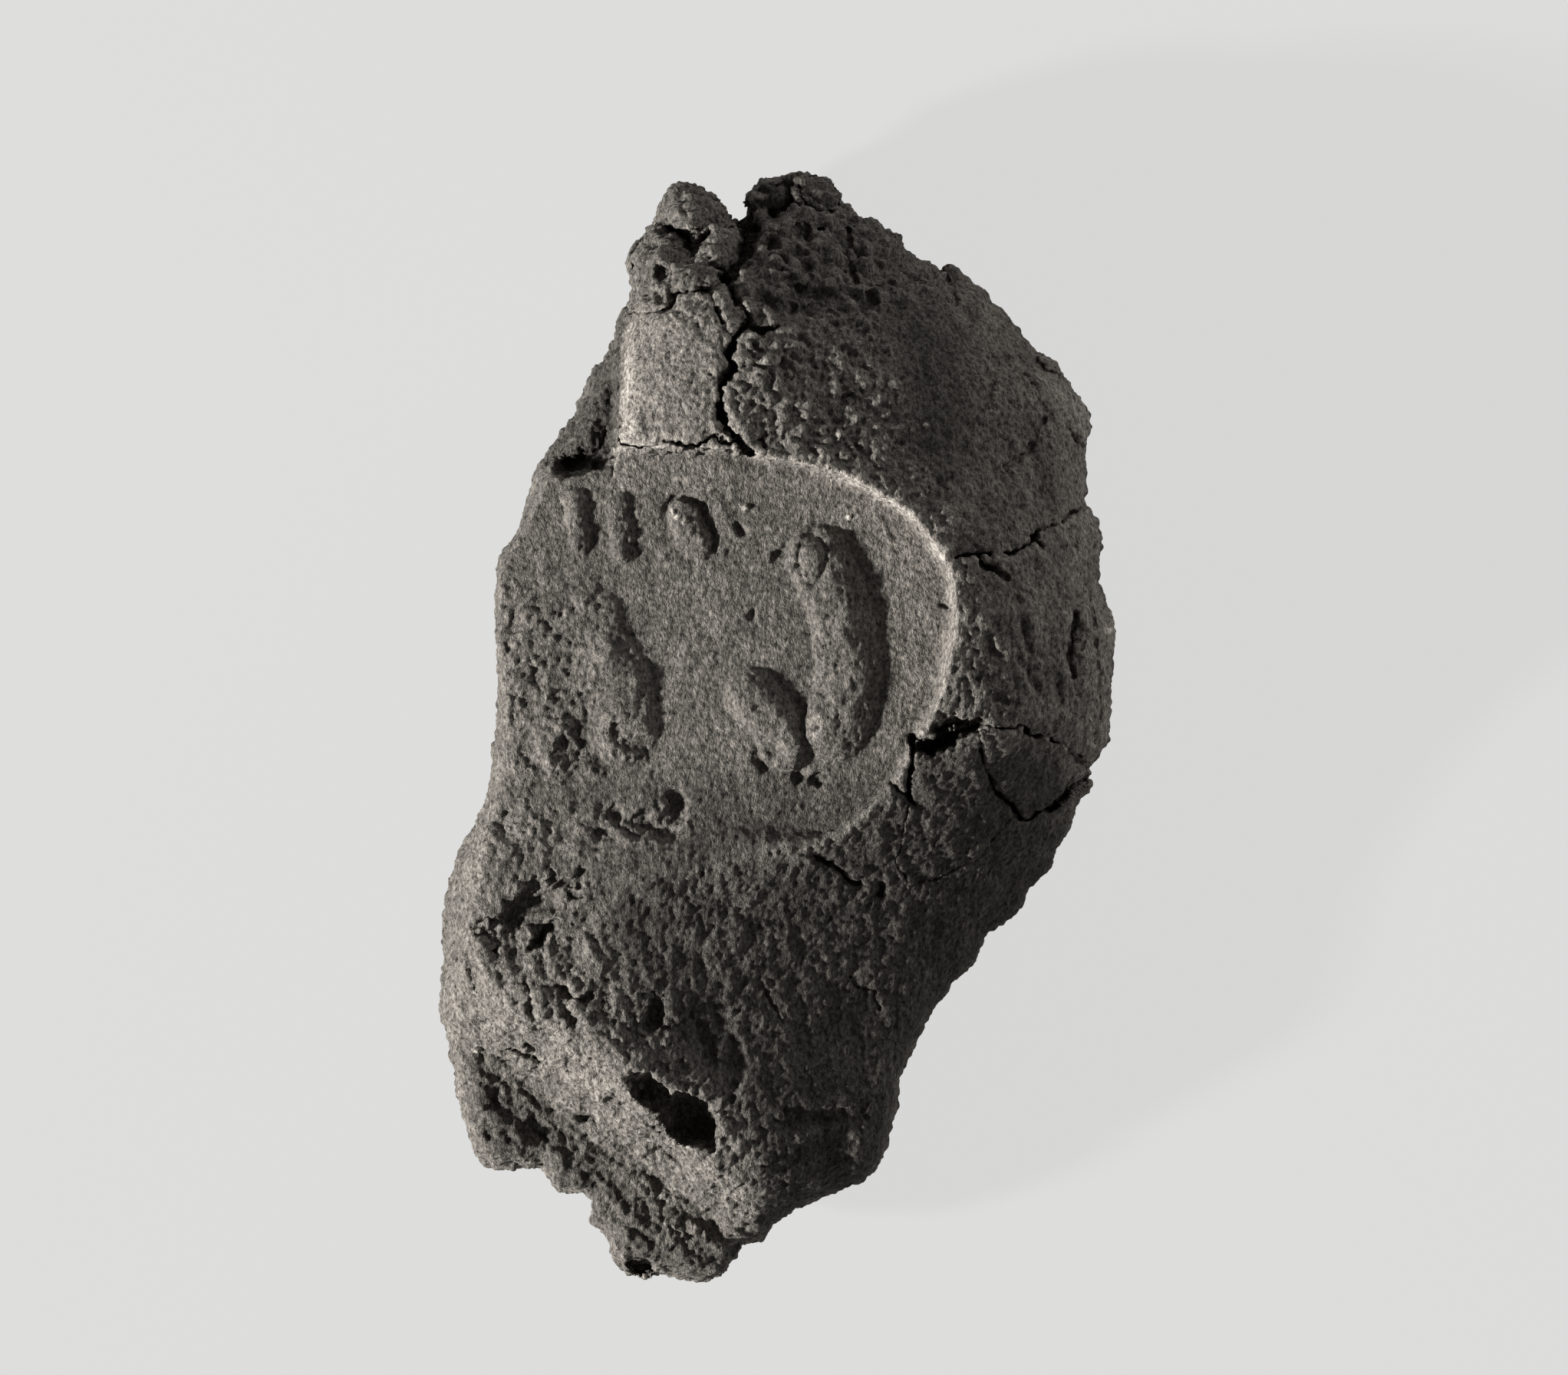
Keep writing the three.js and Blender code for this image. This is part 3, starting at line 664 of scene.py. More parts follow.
def lay_rope(volume):
    """Presses the rope in, and returns how much each place lies in its impression."""
    start, end = places(ROPE)
    length = np.linalg.norm(end - start)
    way = (end - start) / length
    across = (X - start[0]) * -way[1] + (Y - start[1]) * way[0]
    along = (X - start[0]) * way[0] + (Y - start[1]) * way[1]
    lined = np.stack([along / STRAND_LENGTH, across, np.zeros_like(X)], axis=-1)
    strands = STRAND_DEPTH * octaves(lined, STRAND_WIDTH, 32, 3)
    across = across + ROPE_WANDER * noise_map(*ROPE_NOISE)
    floor = ROPE_FLOORS[0] + (ROPE_FLOORS[1] - ROPE_FLOORS[0]) * np.clip(along / length, *ROPE_SPAN)
    up = np.hypot(np.clip(across, 0, None), ROPE_ROUNDING) - ROPE_ROUNDING
    groove = floor + FIELD_SIDE[0] * up + FIELD_SIDE[1] * up ** 2 + END_SIDE * np.clip(-across, 0, None)
    before = surface_map(volume)
    press(volume, groove + strands, GROOVE_ROUNDING)
    return ease(*ROPE_EDGE, groove - before)


# The cleft at the top, the low step of the tip, and the rounded lumps round them

CLEFT = [
    (936, 200), (947, 262), (962, 284), (966, 308), (961, 332), (950, 354), (941, 364), (944, 374),
    (957, 368), (966, 354), (976, 338), (989, 321), (996, 304), (982, 280), (966, 262), (966, 200),
]
# Rows of the picture, and the height of the cleft's floor in them
CLEFT_ROWS = [262, 275, 318, 340, 372]
CLEFT_FLOORS = [-2.0, 3.0, 6.0, 8.5, 12.0]
# How steep its wall is, and how far inside its loop that starts
CLEFT_STEEPNESS = 22
CLEFT_FOOT = 0.05
# The tip's step: its loop, its floor's height and unevenness, with the wavelength and seed of its noise, and
# how steep its wall is and how far inside the loop that starts
TIP_STEP = [
    (940, 190), (1046, 190), (1040, 222), (1034, 246), (1038, 266), (1018, 272), (998, 288), (986, 304),
    (966, 304), (960, 260),
]
TIP_FLOOR = 8.0
TIP_UNEVENNESS = 0.25
TIP_NOISE = (1.6, 41)
TIP_STEEPNESS = 6
TIP_FOOT = 0.15

# Lumps of the knob and the tip: middle, half length and half width in pixels, turn, and how deep the creases
# round them go. The knob has a loop in pixels too.
KNOB_LUMPS = [
    ((892, 262), (40, 42), 70, 1.7),
    ((932, 322), (30, 27), 60, 1.3),
    ((846, 338), (30, 46), 8, 1.5),
    ((902, 362), (44, 22), 12, 0.9),
    ((850, 380), (30, 24), 20, 0.8),
]
KNOB = [(790, 190), (950, 190), (968, 300), (962, 345), (940, 368), (900, 378), (876, 396), (780, 404)]
TIP_LUMPS = [
    ((1071, 248), (29, 28), 0, 1.2),
    ((1014, 290), (19, 15), 30, 0.9),
    ((1046, 292), (22, 15), 10, 0.9),
    ((1086, 290), (28, 16), -20, 0.9),
    ((1148, 328), (42, 40), -35, 1.4),
    ((1060, 318), (24, 16), 20, 0.8),
    ((1022, 326), (16, 20), 50, 0.8),
    ((1000, 350), (22, 18), 60, 0.8),
    ((1034, 352), (18, 16), 40, 0.7),
    ((1064, 350), (16, 17), 40, 0.7),
    ((1088, 330), (18, 22), 0, 0.8),
    ((1090, 372), (20, 16), 20, 0.6),
    ((1012, 386), (20, 16), 0, 0.6),
    ((1050, 392), (18, 15), 0, 0.5),
    ((976, 398), (17, 20), 0, 0.7),
    ((970, 362), (13, 15), 0, 0.7),
    ((1140, 388), (24, 18), -40, 0.5),
]


# How deep creases go where no lump is near, and at most on the tip
KNOB_CREASE = 1.5
TIP_CREASE = 0.35
TIP_DEEPEST = 0.5
# How steeply the creases deepen past a lump, and how far they are rounded
LUMP_STEEPNESS = 2.0
LUMP_ROUNDING = 0.08


def cobbles(lumps, outside):
    """How deep the creases between rounded lumps go, with a depth for places outside them all."""
    cut = np.full_like(X, outside)
    for pixel, half, turn, depth in lumps:
        share = spot_share(pixel, half, turn, XW, YW)
        over_lump = depth * (1 - np.sqrt(np.clip(1 - share ** 2, 0, 1)))
        past_lump = LUMP_STEEPNESS * np.clip(share - 1, 0, None)
        cut = soft_min(cut, over_lump + past_lump, LUMP_ROUNDING)
    return np.clip(cut, 0, None)


def split_top(volume):
    """Opens the cleft, and cuts the tip's step."""
    wall = CLEFT_STEEPNESS * np.clip(loop_distance(CLEFT, XW, YW) + CLEFT_FOOT, 0, None)
    press(volume, np.interp(ROWS, CLEFT_ROWS, CLEFT_FLOORS) + wall)
    wall = TIP_STEEPNESS * np.clip(loop_distance(TIP_STEP, XW, YW) + TIP_FOOT, 0, None)
    press(volume, TIP_FLOOR + TIP_UNEVENNESS * noise_map(*TIP_NOISE) + wall)


# Cracks: pixels, width at the start and at the end in pixels, and depth at the start and at the end
CRACKS = [
    ([(944, 366), (951, 376), (961, 393), (972, 407), (976, 424)], 13, 11, 2.6, 2.2),
    ([(976, 424), (958, 442), (953, 459), (949, 467), (955, 480)], 11, 13, 2.4, 2.4),
    ([(955, 480), (944, 500), (939, 519), (942, 546), (953, 565), (968, 583), (977, 591)], 15, 13, 2.6, 2.2),
    ([(974, 427), (991, 433), (1013, 427)], 7, 3, 1.3, 0.5),
    ([(944, 370), (922, 381), (900, 380), (889, 383), (881, 396), (872, 404)], 13, 7, 2.4, 1.2),
    ([(872, 404), (856, 405), (832, 408)], 5, 3, 0.7, 0.3),
    ([(929, 382), (931, 400), (938, 416), (946, 425)], 5, 4, 0.9, 0.6),
    ([(866, 577), (890, 581), (912, 583), (920, 577), (934, 570), (952, 580)], 5, 8, 0.9, 1.3),
    ([(994, 578), (998, 590)], 7, 5, 0.6, 0.3),
    ([(1206, 976), (1222, 966), (1244, 958), (1264, 950), (1276, 944)], 22, 11, 3.2, 2.4),
    ([(1222, 950), (1243, 944), (1276, 942)], 16, 8, 2.2, 2.0),
    ([(1276, 943), (1292, 947), (1312, 950), (1332, 946)], 6, 5, 1.3, 1.1),
    ([(1332, 948), (1338, 964), (1357, 957)], 6, 3, 1.3, 0.6),
    ([(1274, 960), (1275, 975), (1288, 1008), (1298, 1030), (1314, 1048), (1338, 1072)], 2, 7, 0.1, 1.5),
    ([(1338, 1072), (1356, 1060), (1374, 1050), (1385, 1037), (1402, 1026), (1424, 1012)], 6, 9, 1.6, 2.2),
    ([(1185, 962), (1191, 976), (1187, 1003), (1185, 1034), (1191, 1050)], 8, 5, 1.6, 0.8),
    ([(1160, 1021), (1172, 1030), (1186, 1036)], 4, 6, 0.5, 0.9),
    ([(1057, 1112), (1072, 1120), (1088, 1128), (1105, 1147), (1118, 1150)], 4, 7, 0.5, 0.7),
    ([(1146, 1148), (1150, 1156), (1148, 1166)], 6, 7, 0.6, 0.5),
    ([(1243, 731), (1256, 724), (1267, 722), (1290, 722)], 5, 7, 1.1, 1.2),
    ([(1268, 722), (1280, 736), (1296, 750), (1312, 754)], 9, 3, 1.5, 0.5),
    ([(1306, 724), (1325, 718), (1338, 712), (1352, 693)], 5, 8, 0.9, 1.3),
    ([(1340, 702), (1356, 712)], 8, 5, 1.2, 0.6),
    ([(1352, 695), (1366, 686), (1382, 681), (1396, 668), (1416, 658)], 5, 7, 1.0, 1.4),
    ([(1220, 788), (1230, 792), (1242, 800)], 4, 5, 0.2, 0.3),
    ([(1106, 296), (1102, 316), (1106, 342), (1114, 366)], 9, 5, 0.6, 0.3),
    ([(1293, 392), (1296, 410), (1302, 430), (1303, 450)], 12, 12, 0.35, 0.15),
    ([(1350, 468), (1364, 482), (1384, 492)], 8, 6, 0.6, 0.5),
    ([(1310, 610), (1334, 592), (1350, 574), (1358, 548)], 9, 9, 0.35, 0.35),
    ([(1262, 560), (1282, 530), (1294, 498), (1296, 470)], 9, 12, 0.12, 0.2),
    ([(1330, 486), (1350, 510), (1360, 540)], 9, 9, 0.15, 0.15),
    ([(1392, 560), (1404, 580), (1420, 584)], 8, 7, 0.5, 0.5),
    ([(1232, 352), (1240, 372), (1246, 396)], 7, 7, 0.5, 0.3),
    ([(1158, 300), (1172, 316), (1180, 330)], 8, 8, 0.5, 0.5),
    ([(1420, 1000), (1400, 990), (1384, 970)], 6, 5, 0.5, 0.3),
    ([(1400, 800), (1392, 840), (1398, 880)], 9, 8, 0.6, 0.5),
    ([(1416, 770), (1428, 850), (1432, 920), (1426, 970)], 8, 7, 0.35, 0.3),
    ([(1108, 1272), (1113, 1284), (1133, 1290), (1147, 1316)], 4, 4, 0.2, 0.15),
    ([(998, 1290), (1010, 1312), (1018, 1336)], 5, 5, 0.15, 0.15),
    ([(664, 1366), (680, 1372), (692, 1376)], 4, 4, 0.5, 0.5),
    ([(696, 1379), (706, 1381), (716, 1388)], 5, 4, 0.5, 0.4),
    ([(688, 1361), (702, 1369)], 6, 5, 0.5, 0.4),
    ([(800, 1424), (812, 1440), (830, 1456), (862, 1476)], 3, 3, 0.15, 0.2),
    ([(800, 596), (803, 620), (800, 650)], 3, 3, 0.2, 0.1),
    ([(868, 662), (878, 650), (898, 647), (916, 660), (928, 690), (933, 718)], 8, 9, 0.16, 0.22),
    ([(778, 604), (790, 610), (801, 604)], 7, 5, 0.9, 0.5),
    ([(872, 290), (884, 300), (898, 312), (906, 326)], 14, 20, 1.0, 1.8),
    ([(906, 322), (922, 306), (945, 296)], 12, 6, 1.3, 0.5),
    ([(906, 326), (900, 344)], 9, 4, 1.0, 0.2),
    ([(926, 348), (944, 352)], 6, 8, 0.5, 1.0),
]
# How ragged a crack is, in layers of noise, half the width of the narrowest, and how sheer its sides are
CRACK_NOISE = ((0.5, 0.8, 51), (0.3, 0.3, 54))
NARROWEST = 0.35 * VOXEL
CRACK_SHEER = 0.7
# How its brink rounds over: at most how deep, in millimetres and as a share of the crack, and how wide, in
# millimetres and half widths of the crack
BRINK_DEPTH = 0.2
BRINK_SHARE = 0.3
BRINK_WIDTH = 0.12
BRINK_WIDENING = 1.5


def crack_cut():
    """How deep the cracks cut, with brinks that round over into them."""
    cut = np.zeros_like(X)
    ragged = roughened(1, CRACK_NOISE)
    for pixels, width_start, width_end, depth_start, depth_end in CRACKS:
        distance, along, _ = line_distance(pixels, XW, YW)
        width = width_start + (width_end - width_start) * along
        half = np.maximum(PIXEL / 2 * width * ragged, NARROWEST)
        depth = depth_start + (depth_end - depth_start) * along
        slit = depth * np.clip(1 - (distance / half) ** 2, 0, 1) ** CRACK_SHEER
        brink = np.minimum(BRINK_DEPTH, depth * BRINK_SHARE)
        brink *= np.exp(-(distance / (half * BRINK_WIDENING + BRINK_WIDTH)) ** 2)
        cut = np.maximum(cut, slit + brink)
    return cut


# Hollows: middle, half length and half width in pixels, turn, depth, and how sheer the sides are
HOLLOWS = [
    ((852, 1424), (40, 20), -38, 2.1, 4),
    ((900, 1460), (50, 31), -42, 2.8, 5),
    ((690, 1188), (76, 30), 37, 1.0, 1.5),
    ((706, 1221), (34, 10), 47, 1.3, 1.6),
    ((672, 1215), (56, 40), 40, 0.4, 1.5),
    ((624, 1276), (34, 11), -60, 0.45, 2),
    ((696, 1310), (30, 8), -80, 0.4, 2),
    ((740, 1290), (24, 11), -50, 0.5, 2),
    ((743, 1319), (22, 12), -60, 0.5, 2),
    ((764, 1300), (16, 10), 30, 0.45, 2),
    ((853, 1320), (28, 16), 68, 0.8, 2),
    ((745, 1387), (14, 9), -60, 0.5, 2),
    ((664, 1382), (15, 9), -70, 0.3, 2),
    ((762, 1457), (16, 9), -10, 0.7, 2),
    ((916, 1362), (50, 32), -75, 0.55, 1.3),
    ((950, 1385), (50, 26), 85, 0.4, 1.3),
    ((930, 1330), (34, 28), 0, 0.4, 1.3),
    ((872, 1502), (20, 13), 0, 0.4, 2),
    ((926, 1440), (14, 10), 0, 0.5, 2),
    ((836, 1655), (22, 13), -20, 2.0, 5),
    ((700, 1478), (28, 18), -50, 0.4, 1.5),
    ((645, 1432), (10, 22), 15, 0.35, 1.5),
    ((640, 1480), (12, 16), 0, 0.3, 1.5),
    ((1066, 1462), (60, 20), 5, 0.45, 1.5),
    ((1070, 1510), (58, 40), 20, 0.5, 1.5),
    ((1328, 818), (30, 10), 100, 0.4, 1.5),
    ((1400, 832), (44, 16), 88, 0.7, 1.4),
    ((1338, 880), (30, 10), 120, 0.35, 1.5),
    ((1290, 840), (26, 9), 110, 0.3, 1.5),
    ((1376, 900), (34, 10), 95, 0.35, 1.5),
    ((1300, 910), (30, 8), 160, 0.3, 1.5),
    ((1160, 380), (22, 16), -40, 0.4, 2),
    ((1136, 395), (18, 12), 60, 0.45, 2),
    ((1050, 376), (20, 14), 60, 0.6, 3),
    ((1046, 302), (12, 16), 20, 0.7, 3),
    ((1070, 300), (8, 6), 0, 0.5, 3),
    ((1006, 318), (10, 8), 0, 0.6, 3),
    ((851, 319), (9, 7), 0, 0.7, 3),
    ((862, 358), (8, 17), -10, 0.9, 3),
    ((846, 386), (12, 11), 0, 1.0, 3),
    ((860, 388), (9, 10), 0, 0.9, 3),
    ((873, 354), (6, 8), 0, 0.6, 3),
    ((884, 1048), (26, 18), -60, 0.6, 1.5),
    ((846, 1078), (40, 18), -10, 0.4, 1.4),
    ((806, 1062), (17, 19), 0, 0.35, 1.4),
    ((866, 1066), (28, 18), 20, 0.35, 1.4),
    ((790, 1086), (16, 10), 0, 0.3, 2),
    ((660, 1070), (22, 16), 40, 0.3, 2),
    ((622, 1104), (20, 14), 20, 0.3, 2),
    ((982, 803), (8, 8), 0, 0.25, 2),
    ((1010, 980), (24, 18), -40, 0.3, 1.5),
    ((996, 994), (14, 11), 0, 0.25, 2),
    ((1042, 1010), (13, 11), 0, 0.3, 2),
    ((1064, 1012), (16, 12), 0, 0.3, 2),
    ((965, 690), (11, 7), -60, 0.25, 2),
    ((818, 672), (12, 11), 0, 0.12, 1.5),
    ((824, 714), (16, 12), -60, 0.16, 1.5),
    ((1038, 745), (9, 13), 0, 0.22, 2),
    ((1016, 722), (11, 10), 0, 0.25, 2),
    ((830, 968), (22, 16), -30, 0.35, 2),
    ((806, 955), (18, 13), 0, 0.3, 2),
    ((738, 980), (20, 24), 0, 0.35, 2),
    ((1062, 826), (8, 12), 0, 0.14, 1.5),
    ((1088, 872), (9, 7), 30, 0.12, 1.5),
    ((1072, 905), (10, 8), 0, 0.14, 1.5),
    ((1094, 936), (10, 8), -30, 0.12, 1.5),
    ((1066, 950), (12, 9), 20, 0.15, 1.5),
    ((1084, 800), (8, 9), 0, 0.1, 1.5),
    ((772, 905), (14, 10), 30, 0.25, 2),
    ((700, 880), (14, 20), 10, 0.25, 2),
    ((676, 820), (12, 16), 0, 0.25, 2),
    ((1020, 480), (14, 10), 0, 0.3, 2),
    ((1105, 520), (12, 9), 40, 0.3, 2),
]


# How ragged a hollow is, in layers of noise, and how sheer it may be and still be that ragged
HOLLOW_NOISE = ((0.4, 0.9, 52), (0.22, 0.4, 53))
RAGGED_SHEER = 2


def hollow_cut():
    """How deep the hollows cut."""
    cut = np.zeros_like(X)
    ragged = roughened(0, HOLLOW_NOISE)
    for pixel, half, turn, depth, sheer in HOLLOWS:
        share = spot_share(pixel, half, turn, XW, YW) * (1 + ragged * min(1, RAGGED_SHEER / sheer))
        cut = np.maximum(cut, depth * (1 - np.clip(share, 0, 1) ** sheer))
    return cut


# Where the lumps begin and end to show: by distance from the knob's loop, and by share of the way out of the
# nearest lump on the tip
KNOB_EDGE = (0.1, -0.3)
TIP_EDGE = (1.9, 1.2)


def knob_cut():
    """How deep the creases of the knob left of the cleft go."""
    inside = ease(*KNOB_EDGE, loop_distance(KNOB, XW, YW))
    return inside * cobbles(KNOB_LUMPS, KNOB_CREASE)


def tip_cut():
    """How deep the creases of the tip right of the cleft go."""
    near = np.zeros_like(X)
    for pixel, half, turn, _ in TIP_LUMPS:
        near = np.maximum(near, ease(*TIP_EDGE, spot_share(pixel, half, turn, XW, YW)))
    return near * np.minimum(cobbles(TIP_LUMPS, TIP_CREASE), TIP_DEEPEST)


# Regions of the face as weights, with soft wandering edges

def region(pixels, softness):
    """How much each place lies in a loop."""
    return ease(softness, -softness, loop_distance(pixels, XW, YW))


# Loops in pixels, and how soft the region's edge is in millimetres
REGIONS = {
    # A strip of painted highlight along the plate's left edge, which faces the light
    "plate_edge_painted_highlight": ([(814, 425), (825, 425), (829, 588), (806, 588)], 0.3),
    "plate": ([(800, 400), (955, 372), (976, 424), (940, 520), (980, 590), (800, 590)], 0.6),
    "knob": (KNOB, 0.5),
    "tip": ([(966, 150), (1070, 150), (1110, 300), (1100, 400), (1000, 410), (975, 350), (1000, 300)], 0.6),
    "top": ([(780, 150), (1260, 150), (1260, 360), (1130, 410), (1000, 430), (960, 360), (780, 400)], 0.9),
    "cobbled": ([(1000, 430), (1130, 410), (1150, 500), (1165, 590), (1010, 572), (972, 500)], 0.8),
    "smooth": ([(1150, 390), (1235, 350), (1265, 470), (1245, 620), (1190, 600), (1160, 500)], 1.5),
    "edge": ([(1370, 440), (1500, 400), (1500, 1060), (1400, 1060), (1425, 800), (1395, 660)], 1.2),
    "shoulder": ([(1200, 330), (1480, 420), (1490, 1010), (1240, 960), (1255, 740), (1230, 640),
                  (1180, 560)], 1.2),
    "end": ([(1010, 1430), (1145, 1430), (1160, 1600), (1000, 1620)], 1.3),
    "lower_right": ([(1190, 960), (1290, 955), (1440, 1010), (1400, 1200), (1200, 1600), (1000, 1620),
                     (975, 1380), (1000, 1240), (1010, 1130), (1090, 1095), (1170, 1030)], 0.8),
    "below_field": ([(780, 1120), (1030, 1090), (1010, 1240), (995, 1500), (930, 1400), (850, 1320),
                     (800, 1240)], 1.0),
    "lower_left": ([(540, 1110), (950, 1130), (985, 1330), (990, 1600), (540, 1360)], 1.0),
}
# The groove's side towards the lump's end, the worn parts of the field, and the field's upper part with
# painted light and its lower part with painted shade
GROOVE_END = [
    (540, 1310), (592, 1336), (680, 1415), (775, 1485), (835, 1560), (870, 1620), (960, 1640), (960, 1700),
    (540, 1700),
]
ERODED = [
    [(600, 745), (700, 770), (780, 765), (796, 830), (812, 930), (840, 1000), (790, 1015), (600, 1010)],
    [(540, 1060), (640, 1040), (760, 1050), (900, 1030), (905, 1075), (860, 1100), (760, 1115), (540, 1160)],
]
UPPER_FIELD_PAINTED_LIGHT = [
    (800, 565), (1000, 565), (1140, 605), (1240, 700), (1265, 800), (1250, 880), (1172, 900), (1165, 780),
    (1120, 700), (1000, 640), (800, 645),
]
LOWER_FIELD_PAINTED_SHADE = [(600, 1020), (900, 1015), (1140, 1000), (1180, 1060), (1000, 1200), (500, 1200)]


# Skinning the volume

CORNERS = list(itertools.product((0, 1), repeat=3))


def crossed_cells(inside):
    """The cells of the grid that the surface passes through."""
    count = np.zeros([n - 1 for n in inside.shape], np.int8)
    for corner in CORNERS:
        count += inside[tuple(slice(c, n - 1 + c) for c, n in zip(corner, inside.shape))]
    return np.argwhere((count > 0) & (count < len(CORNERS)))


def cell_points(volume, cells):
    """The surface's place in each cell, in cells: the mean of where it crosses the cell's edges."""
    values = np.stack([volume[tuple((cells + corner).T)] for corner in CORNERS], axis=1)
    total = np.zeros((len(cells), 3), np.float32)
    hits = np.zeros(len(cells), np.float32)
    for i, j in itertools.combinations(range(len(CORNERS)), 2):
        step = np.array(CORNERS[j]) - np.array(CORNERS[i])
        if np.abs(step).sum() != 1:
            continue
        a, b = values[:, i], values[:, j]
        crosses = (a < 0) != (b < 0)
        t = np.where(crosses, a / np.where(crosses, a - b, 1), 0)
        total += np.where(crosses[:, None], np.array(CORNERS[i]) + t[:, None] * step, 0)
        hits += crosses
    return cells + total / hits[:, None]


def crossing_quads(inside, number, axis):
    """Quads round those of the grid's edges along an axis that the surface crosses, inwards and outwards."""
    others = [(axis + 1) % 3, (axis + 2) % 3]
    starts = [slice(1, -1)] * 3
    starts[axis] = slice(0, -1)
    ends = list(starts)
    ends[axis] = slice(1, None)
    here, there = inside[tuple(starts)], inside[tuple(ends)]
    offset = np.ones(3, int)
    offset[axis] = 0
    for flip, changed in ((False, here & ~there), (True, ~here & there)):
        edges = np.argwhere(changed) + offset
        ring = []
        for shift in ((0, 0), (-1, 0), (-1, -1), (0, -1)):
            cell = edges.copy()
            cell[:, others] += shift
            ring.append(number[tuple(cell.T)])
        quads = np.stack(ring, axis=1)
        yield quads[:, ::-1] if flip else quads


def skin(volume, low):
    """A closed mesh of quads on the volume's zero surface: vertices in millimetres and faces."""
    inside = volume < 0
    cells = crossed_cells(inside)
    points = cell_points(volume, cells) * VOXEL + low
    number = np.full([n - 1 for n in inside.shape], -1, np.int32)
    number[tuple(cells.T)] = np.arange(len(cells))
    faces = [quads for axis in range(3) for quads in crossing_quads(inside, number, axis)]
    return points.astype(np.float32), np.concatenate(faces)


def biggest_part(points, faces):
    """The mesh without its loose specks."""
    label = np.arange(len(points))
    while True:
        lowest = label[faces].min(axis=1)
        spread = label.copy()
        for i in range(4):
            np.minimum.at(spread, faces[:, i], lowest)
        spread = spread[spread]
        if np.array_equal(spread, label):
            break
        label = spread
    names, counts = np.unique(label, return_counts=True)
    kept = label == names[np.argmax(counts)]
    number = np.cumsum(kept) - 1
    return points[kept], number[faces[kept[faces[:, 0]]]]


def edges_of(faces):
    """The pairs of vertices that an edge joins, each once."""
    pairs = np.concatenate([faces[:, [i, (i + 1) % 4]] for i in range(4)])
    return np.unique(np.sort(pairs, axis=1), axis=0)


def spread_out(values, edges, count):
    """Each vertex's mean over its neighbours."""
    total = np.zeros((count, values.shape[1]))
    for i in range(values.shape[1]):
        total[:, i] = np.bincount(edges[:, 0], values[edges[:, 1], i], count)
        total[:, i] += np.bincount(edges[:, 1], values[edges[:, 0], i], count)
    degree = np.bincount(edges.ravel(), minlength=count)
    return total / np.maximum(degree, 1)[:, None]


def normals_of(points, faces):
    """The normal at each vertex, from the quads round it."""
    corner = points[faces]
    face = np.cross(corner[:, 2] - corner[:, 0], corner[:, 3] - corner[:, 1])
    total = np.zeros((len(points), 3))
    for axis in range(3):
        for i in range(4):
            total[:, axis] += np.bincount(faces[:, i], face[:, axis], len(points))
    return total / np.maximum(np.linalg.norm(total, axis=1, keepdims=True), 1e-9)


def at_points(grid, points):
    """A map's values at points, between its samples."""
    spot = (points[:, :2] - np.array([XS[0], YS[0]])) / VOXEL
    spot = np.clip(spot, 0, np.array(grid.shape) - 1.001)
    low = spot.astype(int)
    part = spot - low
    total = 0
    for i, j in itertools.product((0, 1), repeat=2):
        weight = (part[:, 0] if i else 1 - part[:, 0]) * (part[:, 1] if j else 1 - part[:, 1])
        total = total + weight * grid[low[:, 0] + i, low[:, 1] + j]
    return total


# Sculpting

volume, girth_map = lump()
in_break = break_off(volume)
in_groove = lay_rope(volume)
figures = relief_map()
in_field, on_rim_highlight = stamp(volume, figures)
in_field = in_field * (1 - in_break)
split_top(volume)
whole = surface_map(volume)
standing = whole > 0
# Cuts shallower than this, in millimetres, aren't made
SHALLOWEST = 0.004
cut = crack_cut() + hollow_cut() + knob_cut() + tip_cut()
press(volume, np.where(cut > SHALLOWEST, np.where(standing, whole, CROWN) - cut, CROWN + CLEAR))
surface = surface_map(volume)

# How soft the edges of regions in the field and in the groove are, and how high a figure is where its own
# region begins and where it is in full
FIELD_SOFTNESS = 0.8
GROOVE_SOFTNESS = 1.0
FIGURE_EDGE = (0.1, 0.3)

# How much each place lies in each region. Where regions overlap, the earlier one takes the place.
masks = {
    "broken": in_break,
    # The rim's edge, where a highlight is painted
    "rim": on_rim_highlight,
    "eroded": np.maximum(*[region(loop, FIELD_SOFTNESS) for loop in ERODED]) * in_field,
    "boss": ease(*FIGURE_EDGE, figures) * in_field,
    "upper_field_painted_light": region(UPPER_FIELD_PAINTED_LIGHT, FIELD_SOFTNESS) * in_field,
    "lower_field_painted_shade": region(LOWER_FIELD_PAINTED_SHADE, FIELD_SOFTNESS) * in_field,
    "field": in_field,
    "groove_end": region(GROOVE_END, GROOVE_SOFTNESS) * in_groove,
    "groove": in_groove,
}
for name, (loop, softness) in REGIONS.items():
    masks[name] = region(loop, softness)

